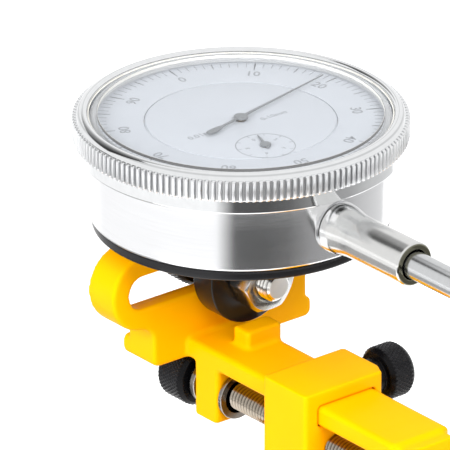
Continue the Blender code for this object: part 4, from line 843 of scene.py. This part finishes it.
smallKnob = Sizes(radius=5.0, length=5.6, hubRadius=3.2, hubLength=3.2, chamfer=0.8, knurlDepth=0.2, count=40,
                  slant=1.25, dish=2.6, dishDepth=0.35)
makeKnob("adjusterKnob", "adjuster", "adjuster_knob", at(-30.85, bracket.screwY, bracket.screwZ, alongBack),
         Sizes(smallKnob, radius=5.7, length=7.0, hubLength=0.6, count=46, knurlDepth=0.15, dish=3.2))
makeKnob("lockKnob", "rail_lock", "lock_knob", at(carriage.lockX, carriage.far + 1.0, carriage.lockZ, alongY),
         Sizes(smallKnob, hubLength=2.3))
makeKnob("mountKnob", "bolt", "mount_knob", at(dial.x - 6.6, dial.y, bracket.boltZ, alongBack),
         Sizes(smallKnob, radius=7.0, length=6.5, hubRadius=4.8, hubLength=3.4, count=56, dish=4.0))
makeKnob("clampKnob", "clamp", "clamp_knob", at(0, 0, -54.8, downward),
         Sizes(smallKnob, radius=8.0, length=8.0, hubLength=0, count=64, dish=4.6))
print("knobs knurled")


# Screws, nut, clip, washers and pad

for name, body, slot, finish, node, place in (
        ("leadScrew", "adjuster", "steel", "screw", "lead_screw", screwLine),
        ("lockScrew", "rail_lock", "steel", "screw", "lock_screw", lockLine),
        ("clampScrew", "clamp", "steel", "screw", "clamp_screw", upright),
        ("mountBolt", "bolt", "chrome", "bolt", "mount_bolt", boltLine)):
    settle(threaded(name, finish, screws[name]), body, slot, finish, node, sharp=40, place=place)

nut = Sizes(flats=10.0, thick=5.0, low=3.5, flat=0.75, rise=0.504, bore=3.0, lead=0.5, edge=0.12)
clip = Sizes(radius=4.4, thick=0.9, inner=3.0, mouth=3.6, low=-22.15, edge=0.2)
thrustWasher = dict(inner=2.75, outer=4.2, low=-30.55, high=-29.25, edge=0.3)
sliderWasher = dict(inner=3.2, outer=5.2, low=-6.3, high=-5.3)
pad = Sizes(radius=6.0, neck=3.2, low=-29.0, seat=-27.5, top=-26.0, edge=0.5)


def bothEnds(half, length):
    # a profile that is the same from either end
    return half + [(radius, length - height) for radius, height in reversed(half)]


def makeNut(size):
    corner = size.flats / math.sqrt(3)
    flat, wide, rise, top = corner - size.flat, corner + 0.1, size.rise, size.thick
    hexagon = [polar(corner, 60 * side) for side in range(6)]
    body = slab("mountNut", softened(hexagon, 0.3, 3), 0, top)
    cone = bothEnds([(0, -1), (flat, -1), (flat, 0), (wide, rise)], top)
    combined(body, "INTERSECT", turned("nutCone", cone, 96, soft=0))
    mouth = size.bore + size.lead
    hole = bothEnds([(0, -1), (mouth, -1), (mouth, 0), (size.bore, size.lead)], top)
    combined(body, "DIFFERENCE", turned("nutHole", hole, 64, soft=0))
    modified(body, "BEVEL", width=size.edge, segments=2, limit_method="ANGLE", angle_limit=math.radians(30),
             use_clamp_overlap=True)
    madePlain(body)
    place = at(dial.x + size.low, dial.y, bracket.boltZ, alongX)
    settle(body, "slider", "chrome", "zinc", "mount_nut", sharp=30, place=place)


def makeClip(size):
    outer, inner = size.radius, size.inner
    openAt, openIn = [math.degrees(math.asin(size.mouth / 2 / radius)) for radius in (outer, inner)]
    outline = arcPoints(0, 0, outer, openAt, 360 - openAt, 48)
    outline += arcPoints(0, 0, inner, 360 - openIn, openIn, 40)
    piece = slab("retainingClip", softened(outline, 0.3), 0, size.thick, alongX, size.edge)
    place = at(size.low, bracket.screwY, bracket.screwZ)
    settle(piece, "adjuster", "steel", "clip", "retaining_clip", sharp=40, place=place)


def makePad(size):
    radius, edge = size.radius, size.edge
    profile = [(0, size.seat), (size.neck, size.seat), (size.neck, size.low), (radius - 0.4, size.low),
               (radius, size.low + edge), (radius, size.top - edge), (radius - edge, size.top), (0, size.top)]
    settle(turned("clampPad", profile, 64, soft=0.4), "pad", "rubber", "rubber", "clamp_pad")


makeNut(nut)
makeClip(clip)
settle(flatRing("thrustWasher", place=screwLine, **thrustWasher), "adjuster", "steel", "clip",
       "thrust_washer")
settle(flatRing("sliderWasher", place=boltLine, **sliderWasher), "slider", "steel", "zinc",
       "slider_washer")
makePad(pad)
print("screws cut and washers set")


# Dial: back with lug, case, stem and cap

back = Sizes(radius=26.6, thick=1.8, edge=0.45, lugRadius=9.2, lugThick=5.4, lugBack=-2.2, lugEdge=0.3,
             bolt=3.2, screwRing=22.8, screwAngles=(50.0, 135.0, 225.0, 310.0), screwHead=1.5,
             screwEnd=7.2, crossHalf=0.16, crossReach=0.85, crossDeep=0.75)


def makeBack(size):
    piece = rod("dialBack", size.radius, 0, size.thick, upright, 192, size.edge, 5)
    drop = bracket.boltZ - dial.z
    lug = arcPoints(0, drop, size.lugRadius, 180, 360, 64)
    lug += [(size.lugRadius, size.thick / 2), (-size.lugRadius, size.thick / 2)]
    front = size.lugBack + size.lugThick
    combined(piece, "UNION", slab("lug", lug, size.lugBack, front, alongX, size.lugEdge, 4))
    head = size.screwHead + 0.2
    sink = [(0, -1), (head, -1), (head, 0.9), (1.1, 1.5), (1.1, 3), (0, 3)]
    holes = [rod("lugHole", size.bolt, -9, 9, at(0, 0, drop, alongX))]
    for angle in size.screwAngles:
        holes.append(turned("screwHole", sink, 32, at(*polar(size.screwRing, angle), 0), soft=0))
    combined(piece, "DIFFERENCE", *holes)
    settle(piece, "dial", "black_paint", "enamel", "dial_back", sharp=32, place=dialTurn)


def makeBackScrews(size):
    # cross-head screws, each turned to an angle of its own
    head = size.screwHead
    profile = [(0, 0.15), (head - 0.2, 0.15), (head, 0.45), (head, 0.62), (0.8, 1.5), (0.8, size.screwEnd),
               (0, size.screwEnd)]
    arm = rectangle(-size.crossHalf, -size.crossReach, size.crossHalf, size.crossReach)
    screwPieces = []
    for angle in size.screwAngles:
        screw = turned("backScrew", profile, 32, steps=3)
        cross = [slab("crossArm", arm, -1, size.crossDeep, Matrix.Rotation(turn, 4, "Z"))
                 for turn in (0.0, math.pi / 2)]
        combined(screw, "DIFFERENCE", *cross)
        turn = Matrix.Rotation(math.radians(angle) * 3, 4, "Z")
        screw.data.transform(at(*polar(size.screwRing, angle), 0, turn))
        screwPieces.append(screw)
    piece = joinedUp(*screwPieces)
    piece.name = "backScrews"
    nodes = [f"back_screw_{number}" for number in (1, 2, 3, 4)]
    settle(piece, "dial", "steel", "zinc", *nodes, place=dialTurn)


makeBack(back)
makeBackScrews(back)

case = Sizes(radius=27.1, low=2.1, top=13.6, inner=24.6, rim=26.0, rimTop=17.9, stemBore=4.3, capBore=3.7,
             bossBore=1.1, bossRadius=2.1, bossLow=3.4, bossTop=8.0)
stem = Sizes(radius=4.0, start=24.3, end=47.7, rootRadius=4.6, root=27.4, collar=30.4, flare=1.5, bore=2.8,
             chamfer=0.3)
cap = Sizes(radius=3.4, start=24.6, end=32.1, bore=2.8, skin=1.2, edge=0.7)
spindle = Sizes(radius=2.5, back=-20.0, front=66.0, tipStart=66.3, tipRadius=2.1, tipEnd=71.3, ball=1.6,
                rackPitch=0.625, rackTeeth=20, rackStart=10.25175, rackLine=-2.2, rackFar=-8.0,
                rackSlope=20.0, rackAbove=0.8, rackBelow=1.3, rackPlay=0.04, pinRadius=0.5, pinX=-6.0,
                pinReach=7.0)


def makeCase(size):
    radius, low, top, rim, rimTop, inner = size.radius, size.low, size.top, size.rim, size.rimTop, size.inner
    profile = [(radius - 0.1, low, 0.1), (radius, low + 0.25), (radius, top, 0.15), (rim, top, 0.1),
               (rim, rimTop), (inner, rimTop), (inner, low)]
    piece = turned("dialCase", profile, 256, soft=0.2, closed=True)
    combined(piece, "DIFFERENCE",
             rod("caseHole", size.stemBore, 20, 30, at(0, 0, dial.stemHeight, alongX), 64),
             rod("caseHole", size.capBore, 20, 30, at(0, 0, dial.stemHeight, alongBack), 64))
    joinedUp(piece, *[flatRing("boss", size.bossBore, size.bossRadius, size.bossLow, size.bossTop,
                               at(*polar(back.screwRing, angle), 0), 0.1, 32) for angle in back.screwAngles])
    settle(piece, "dial", "chrome", "case", "dial_case", sharp=32, place=dialTurn)


def makeStem(size):
    radius, root, end, bore = size.radius, size.root, size.end, size.bore
    profile = [(radius, size.start), (radius, root - 0.3), (size.rootRadius + 0.1, root, 0.1),
               (size.rootRadius, root + size.flare, 2.0), (radius, size.collar + 1.5, 4.0),
               (radius, end - size.chamfer, 0.15), (radius - size.chamfer, end, 0.15),
               (bore + 0.1, end, 0.05), (bore, end - 0.1, 0.05), (bore, size.start)]
    settle(turned("dialStem", profile, 96, stemTurn, steps=5, closed=True), "dial", "chrome", "stem", "stem",
           sharp=32)


def makeCap(size):
    radius, end = size.radius, size.end
    ceiling = end - size.skin
    profile = [(0, end), (radius - size.edge, end, 0.3), (radius, end - size.edge, 0.3), (radius, size.start),
               (size.bore, size.start), (size.bore, ceiling), (0, ceiling)]
    turn = stemTurn @ Matrix.Rotation(math.pi, 4, "X")
    settle(turned("dustCap", profile, 64, turn, 0.05), "dial", "chrome", "stem", "dust_cap", sharp=32)


def rackOutline(size):
    pitch, line, start = size.rackPitch, size.rackLine, size.rackStart
    module = pitch / math.pi
    slope = math.tan(math.radians(size.rackSlope))
    above, below = size.rackAbove * module, size.rackBelow * module
    crest, root = line - above, line + below
    half = pitch / 4 - size.rackPlay
    wide, narrow = half + below * slope, half - above * slope
    first, last = start - pitch, start + pitch * size.rackTeeth
    points = [(first, root)]
    for tooth in range(size.rackTeeth):
        middle = start + pitch * tooth
        points += [(middle - wide, root), (middle - narrow, crest)]
        points += [(middle + narrow, crest), (middle + wide, root)]
    return points + [(last, root), (last, size.rackFar), (first, size.rackFar)]


def makeSpindle(size):
    shaft = rod("spindleRod", size.radius, size.back, size.front, alongX, 96, 0.35)
    combined(shaft, "DIFFERENCE", slab("rackTool", rackOutline(size), -6, 6))
    pinTurn = at(size.pinX, 0, 0, Matrix.Rotation(math.pi / 2, 4, "X"))
    combined(shaft, "UNION", rod("springPin", size.pinRadius, 0, size.pinReach, pinTurn, 16, 0.1))
    place = at(dial.x, dial.y, dial.z + dial.stemHeight)
    settle(shaft, "plunger", "steel", "spindle", "spindle", sharp=32, place=place)
    neck = size.tipEnd - 2 * size.ball
    profile = [(0, size.tipStart), (size.tipRadius, size.tipStart, 0.3), (size.tipRadius, neck - 0.4, 0.3)]
    profile += [(x, neck + size.ball + y) for x, y in arcPoints(0, 0, size.ball, -40, 80, 12)]
    profile += [(0, size.tipEnd)]
    settle(turned("contactTip", profile, 64, stemTurn, steps=2), "plunger", "steel", "spindle", "contact_tip",
           sharp=40)


makeCase(case)
makeStem(stem)
makeCap(cap)
makeSpindle(spindle)
print("case, stem and spindle turned")


# Bezel with its ribs, and what turns with it

bezel = Sizes(band=29.1, knurl=30.0, depth=0.62, ribs=156, low=13.9, bandTop=16.5, knurlTop=20.4,
              top=21.4, bore=27.2, ledge=18.3, inner=26.3, ribShare=0.60)


def ribShape(width, height, depth):
    # a bar along Z with a rounded crest and tapered ends
    half = width / 2
    flank = half - width * 0.16
    section = [(-0.3, -half), (depth * 0.55, -half), (depth * 0.9, -flank), (depth, 0), (depth * 0.9, flank),
               (depth * 0.55, half), (-0.3, half)]
    levels = [(0.0, 0.5), (0.12, 0.85), (0.3, 1.0), (height - 0.3, 1.0), (height - 0.12, 0.85), (height, 0.5)]
    return stackedShape([[(x * reach if x > 0 else x, y, z) for x, y in section] for z, reach in levels])


def makeBezel(size):
    root, band, bore, inner = size.knurl - size.depth, size.band, size.bore, size.inner
    low, high, top = size.bandTop, size.knurlTop, size.top
    profile = [(inner, size.low, 0.1), (band, size.low, 0.35), (band, low, 0.25), (root, low + 0.12, 0.12),
               (root, high - 0.12, 0.12), (band + 0.15, high, 0.15), (band - 0.15, high + 0.55, 0.6),
               (bore + 1.15, top, 0.8), (bore + 0.35, top, 0.3), (bore, top - 0.35, 0.25),
               (bore, size.ledge, 0.05), (inner, size.ledge, 0.05)]
    piece = turned("bezelRing", profile, 312, steps=6, closed=True)
    width = 2 * math.pi * size.knurl / size.ribs * size.ribShare
    rib = workPiece("rib", (ribShape(width, high - low, size.depth), upright))
    joinedUp(piece, ringOf("ribs", rib, "bezel", size.ribs, root - 0.01, low))
    settle(piece, "bezel_ring", "chrome", "bezel", "bezel", sharp=40, place=dialTurn)


def makeCover(size):
    outer, inner, top, bevel = size.outer, size.outer - size.skirt, size.top, size.bevel
    ceiling = top - size.thick
    profile = [(0, ceiling), (inner - bevel, ceiling, 0.2), (inner, ceiling - 0.45, 0.2), (inner, size.low),
               (outer, size.low), (outer, top - bevel, 0.15), (outer - bevel, top, 0.3), (0, top)]
    settle(turned("dialCover", profile, 192, dialTurn), "bezel_ring", "crystal", "cover", "crystal", sharp=40)
    # the dark ring set inside the cover's edge is painted shade: it stands for the shadowed gap between face
    # and bezel seen through the bevel; a pale lining lies beside it
    rings = (("coverSeal", outer + 0.02, bezel.bore - 0.02, size.sealLow, size.sealTop, 0.08, "nylon"),
             ("coverLine", size.line + 0.06, size.line + 0.11, size.lineLow, size.lineHigh, 0.01, "shadowLineRubber"),
             ("coverLining", size.line, size.line + 0.05, size.lineLow, size.lineHigh, 0.01, "nylon"))
    for name, start, end, low, high, edge, finish in rings:
        settle(flatRing(name, start, end, low, high, dialTurn, edge, 192), "bezel_ring", "rubber", finish)


makeBezel(bezel)
makeCover(cover)
print("bezel ribbed and glazed")


# Face: outer scale turns with the bezel, inner card is fixed

face = Sizes(
    top=19.2, low=18.6, radius=16.9, ledge=17.12, ledgeDrop=0.15, tubeLow=15.5, scaleInner=17.2,
    scaleOuter=26.9, print=0.03, tickOuter=25.6,
    ticks=((100, 1.8, 0.13), (20, 2.3, 0.1755), (10, 2.9, 0.1755)),
    numberRadius=20.9, numberSize=2.8, turn=9.0, countX=11.50175, countY=-3.791549, countRadius=5.25,
    countLine=0.14, countTick=(0.75, 0.1), countTickInset=0.8, countNumberRadius=3.3,
    countNumberSize=1.25, hole=0.9,
    words=(("0.01mm", 1.9, (0.7, -9.3)), ("0-10mm", 1.7, (2.1, 5.8))))


def tickBox(length, width):
    return slab("tick", rectangle(0, -width / 2, length, width / 2), 0, face.print)


def wordPiece(word, size, spot, turn, weight=0.0):
    curve = bpy.data.curves.new(word, "FONT")
    curve.body = word
    curve.size = size
    curve.align_x = "CENTER"
    curve.align_y = "CENTER"
    curve.extrude = face.print / 2
    curve.offset = weight
    curve.resolution_u = 3
    carrier = linked("word", curve)
    mesh = evaluatedMesh(carrier)
    bpy.data.objects.remove(carrier)
    bpy.data.curves.remove(curve)
    mesh.transform(at(*spot, face.top + face.print / 2, Matrix.Rotation(turn, 4, "Z")))
    return linked("word", mesh)


def clockNumbers(step, count, radius, size, turn=0.0, middle=(0.0, 0.0), weight=0.0):
    # numbers go round clockwise from the scale's far side, where the dial's zero stands
    pieces = []
    for number in range(count):
        degrees = 180 - turn - 360 / count * number
        x, y = polar(radius, degrees)
        pieces.append(wordPiece(str(number * step), size, (middle[0] + x, middle[1] + y),
                                math.radians(degrees - 90), weight))
    return pieces


def makeScale(size):
    ring = flatRing("outerScale", size.scaleInner, size.scaleOuter, size.low, size.top, dialTurn, 0.08, 192)
    settle(ring, "bezel_ring", "face", "card", "scale_ring")
    marks = []
    for count, length, width in size.ticks:
        marks.append(ringOf("ticks", tickBox(length, width), "ink", count, size.tickOuter - length, size.top,
                            firstAngle=math.radians(180 - size.turn)))
    numbers = clockNumbers(10, 10, size.numberRadius, size.numberSize, size.turn, weight=0.02)
    piece = joinedUp(*marks, *numbers)
    piece.name = "scalePrint"
    settle(piece, "bezel_ring", "pointer", "ink", place=dialTurn)


def makeFace(size):
    tube, low, top, hole = size.radius / 2, size.low, size.top, size.hole
    ledge = top - size.ledgeDrop
    spot = (size.countX, size.countY)
    profile = [(tube + 1, size.tubeLow), (tube + 1, low), (size.ledge, low), (size.ledge, ledge),
               (size.radius, ledge), (size.radius, top), (hole, top), (hole, low), (tube, low),
               (tube, size.tubeLow)]
    piece = turned("innerFace", profile, 192, soft=0.05, closed=True)
    combined(piece, "DIFFERENCE", rod("countHole", hole, 17, 21, at(*spot, 0), 32))
    settle(piece, "dial", "face", "card", "inner_face", place=dialTurn)
    radius, half = size.countRadius, size.countLine / 2
    rim = flatRing("printedRing", radius - half, radius + half, top, top + size.print, at(*spot, 0), 0, 128)
    ticks = ringOf("countTicks", tickBox(*size.countTick), "ink", 10, radius - size.countTickInset, top,
                   firstAngle=math.pi)
    ticks.data.transform(at(*spot, 0))
    numbers = clockNumbers(2, 5, size.countNumberRadius, size.countNumberSize, middle=spot)
    words = [wordPiece(word, height, place, math.pi / 2) for word, height, place in size.words]
    piece = joinedUp(rim, ticks, *numbers, *words)
    piece.name = "facePrint"
    settle(piece, "dial", "pointer", "ink", place=dialTurn)


makeScale(face)
makeFace(face)


# Pointers

thinHand = Sizes(width=0.6, thick=0.2, bore=0.7)
sweepHand = Sizes(thinHand, length=24.0, tail=9.5, tailWidth=1.3, hub=1.3, low=19.75, angle=77.0)
turnsHand = Sizes(thinHand, length=4.2, tail=1.6, tailWidth=0.6, hub=1.0, low=19.4, angle=20.0)


def makeHand(name, body, node, size, x, y):
    half, wide, tail, bore = size.width / 2, size.tailWidth / 2, size.tail, size.bore
    outline = [(size.length, -half / 4, 0.02), (size.length, half / 4, 0.02), (0, half, 0.5),
               (-tail * 0.55, half * 0.8, 0.5), (-tail * 0.7, wide, 0.5), (-tail, wide, 0.6),
               (-tail, -wide, 0.6), (-tail * 0.7, -wide, 0.5), (-tail * 0.55, -half * 0.8, 0.5),
               (0, -half, 0.5)]
    turn = Matrix.Rotation(math.radians(180 - size.angle), 4, "Z")
    piece = slab(name, softened(outline, 0.3), size.low, size.low + size.thick, turn, 0.05, 2)
    low, top = size.low - 0.1, size.low + size.thick + 0.1
    profile = [(0, top - 0.1), (bore, top - 0.1, 0), (bore, low, 0), (size.hub, low), (size.hub, top, 0.15),
               (0, top)]
    combined(piece, "DIFFERENCE", rod("hubRoom", bore - 0.01, low - 1, top - 0.12, upright, 32))
    joinedUp(piece, turned("hub", profile, 48))
    settle(piece, body, "pointer", "hand", node, place=at(dial.x + x, dial.y + y, dial.z))


makeHand("sweepHand", "centre", "main_pointer", sweepHand, 0, 0)
makeHand("turnsHand", "counter", "count_pointer", turnsHand, face.countX, face.countY)
print("face printed and pointers set")


# Nodes that keep their CAD shape and get a finish

kept = dict(
    brass=("lead_nut", "clamp_nut", "movement_base", "movement_bridge", "movement_top", "pillar_1",
           "pillar_2", "pillar_3", "pillar_4", "centre_pinion", "count_arbor", "takeup_wheel"),
    wire=("hairspring", "return_spring"), nylon=("lock_tip",))
for finish, nodes in kept.items():
    for node in nodes:
        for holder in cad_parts[node].material_slots:
            holder.material = finishes[finish]
print("kept nodes finished")


# Floor, light and camera. A card glows only in reflections, between two rims (radius, height) and two
# azimuths, with its strengths at shares of that arc.

studio = Sizes(floorZ=-69.0, floorSize=4.0, floorGrey=0.62, azimuth=51.0, elevation=24.3, distance=1.3,
               pixelsPerMm=5.617, frameSize=450, sensor=36.0, shiftRight=-2.813, shiftUp=-1.068,
               worldLight=0.65, lampDistance=0.9, lampAim=20.0)
cards = dict(
    darkCard=dict(rims=((150, -40), (420, -40)), start=35, end=180, stops=(
        (0.0, 1.0), (0.08, 0.11), (0.23, 0.1), (0.34, 0.16), (0.46, 0.32), (0.57, 0.38), (0.66, 0.44),
        (0.76, 0.6), (0.88, 0.72), (1.0, 0.85))),
    paleCard=dict(rims=((176, -40), (420, -40)), start=-130, end=35, stops=(
        (0.0, 1.25), (0.27, 1.3), (0.36, 1.1), (0.6, 1.13), (1.0, 1.14))),
    skyCard=dict(rims=((450, 240), (260, 440)), start=-120, end=-52, stops=(
        (0.0, 0.7), (0.16, 0.4), (0.71, 0.12), (0.94, 0.04))),
    nearCard=dict(rims=((50, -40), (170, -40)), start=-85, end=-12, stops=((0.0, 0.5), (1.0, 0.5))))
lamps = dict(
    keyLamp=dict(azimuth=8, elevation=25, width=0.5, power=8.2),
    sideLamp=dict(azimuth=80, elevation=42, width=0.5, power=7.2),
    topLamp=dict(azimuth=40, elevation=82, width=0.6, power=0.8))


def makeFloor(size):
    half = size.floorSize / 2
    corners = [(x, y, size.floorZ * metre) for x, y in rectangle(-half, -half, half, half)]
    floor = linked("studioFloor", meshFrom("studioFloor", corners, [(0, 1, 2, 3)]))
    grey = (size.floorGrey, size.floorGrey, size.floorGrey)
    finish = Finish("paleFloor", grey, 0.9)
    finish.set("Emission Color", finish.seenRays() * size.floorGrey)
    finish.set("Emission Strength", 1.0)
    floor.data.materials.append(finish.material)


def makeWorld(size):
    world = bpy.data.worlds.new("softStudio")
    bpy.context.scene.world = world
    world.use_nodes = True
    sheet = NodeSheet(world.node_tree)
    seen = sheet.seenRays()
    strength = seen + (1 - seen) * size.worldLight
    light = sheet.add("ShaderNodeBackground", {"Color": (1, 1, 1), "Strength": strength})
    sheet.add("ShaderNodeOutputWorld", {0: light}, None)


def makeCard(name, rims, start, end, stops, steps=48):
    points, faces = [], []
    for step in range(steps + 1):
        angle = math.radians(start + (end - start) * step / steps)
        for radius, z in rims:
            spot = Vector((dial.x + radius * math.sin(angle), dial.y - radius * math.cos(angle), z))
            points.append(spot * metre)
        if step:
            base = 2 * step
            faces.append((base - 2, base, base + 1, base - 1))
    card = linked(name, meshFrom(name, points, faces))
    finish = Finish(name, (0, 0, 0), 0.9)
    x, y = finish.split(finish.place(centre=(dial.x * metre, dial.y * metre, 0)), "XY")
    share = (x.by("ARCTAN2", 0 - y) - math.radians(start)) / math.radians(end - start)
    greys = [(part, (grey, grey, grey)) for part, grey in stops]
    tone = finish.add("ShaderNodeValToRGB", {"Fac": share}, stops=greys)
    finish.show(finish.add("ShaderNodeEmission", {"Color": tone, "Strength": 1.0}))
    card.data.materials.append(finish.material)
    card.visible_camera = False
    card.visible_diffuse = False
    card.visible_shadow = False


def viewWay(azimuth, elevation):
    turn, rise = math.radians(azimuth), math.radians(elevation)
    level = math.cos(rise)
    return Vector((math.sin(turn) * level, -math.cos(turn) * level, math.sin(rise)))


def makeLamp(name, azimuth, elevation, width, power):
    light = bpy.data.lights.new(name, "AREA")
    light.energy = power
    light.shape = "SQUARE"
    light.size = width
    lamp = linked(name, light)
    way = viewWay(azimuth, elevation)
    lamp.location = way * studio.lampDistance + Vector((dial.x, dial.y, studio.lampAim)) * metre
    lamp.rotation_euler = way.to_track_quat("Z", "Y").to_euler()
    lamp.visible_glossy = False


def makeCamera(size):
    back = viewWay(size.azimuth, size.elevation)
    right = viewWay(size.azimuth + 90, 0)
    up = back.cross(right)
    target = Vector((dial.x, dial.y, dial.z)) + right * size.shiftRight + up * size.shiftUp
    lens = bpy.data.cameras.new("camera")
    lens.sensor_width = size.sensor
    lens.lens = size.sensor * size.pixelsPerMm * size.distance * 1000 / size.frameSize
    lens.clip_start = 0.1
    lens.clip_end = 20.0
    camera = linked("camera", lens)
    camera.location = target * metre + back * size.distance
    camera.rotation_euler = Matrix((right, up, back)).transposed().to_euler()
    bpy.context.scene.camera = camera


makeFloor(studio)
makeWorld(studio)
for name, card in cards.items():
    makeCard(name, **card)
for name, lamp in lamps.items():
    makeLamp(name, **lamp)
makeCamera(studio)
bpy.context.scene.view_settings.view_transform = "Standard"
print("floor, light and camera set")
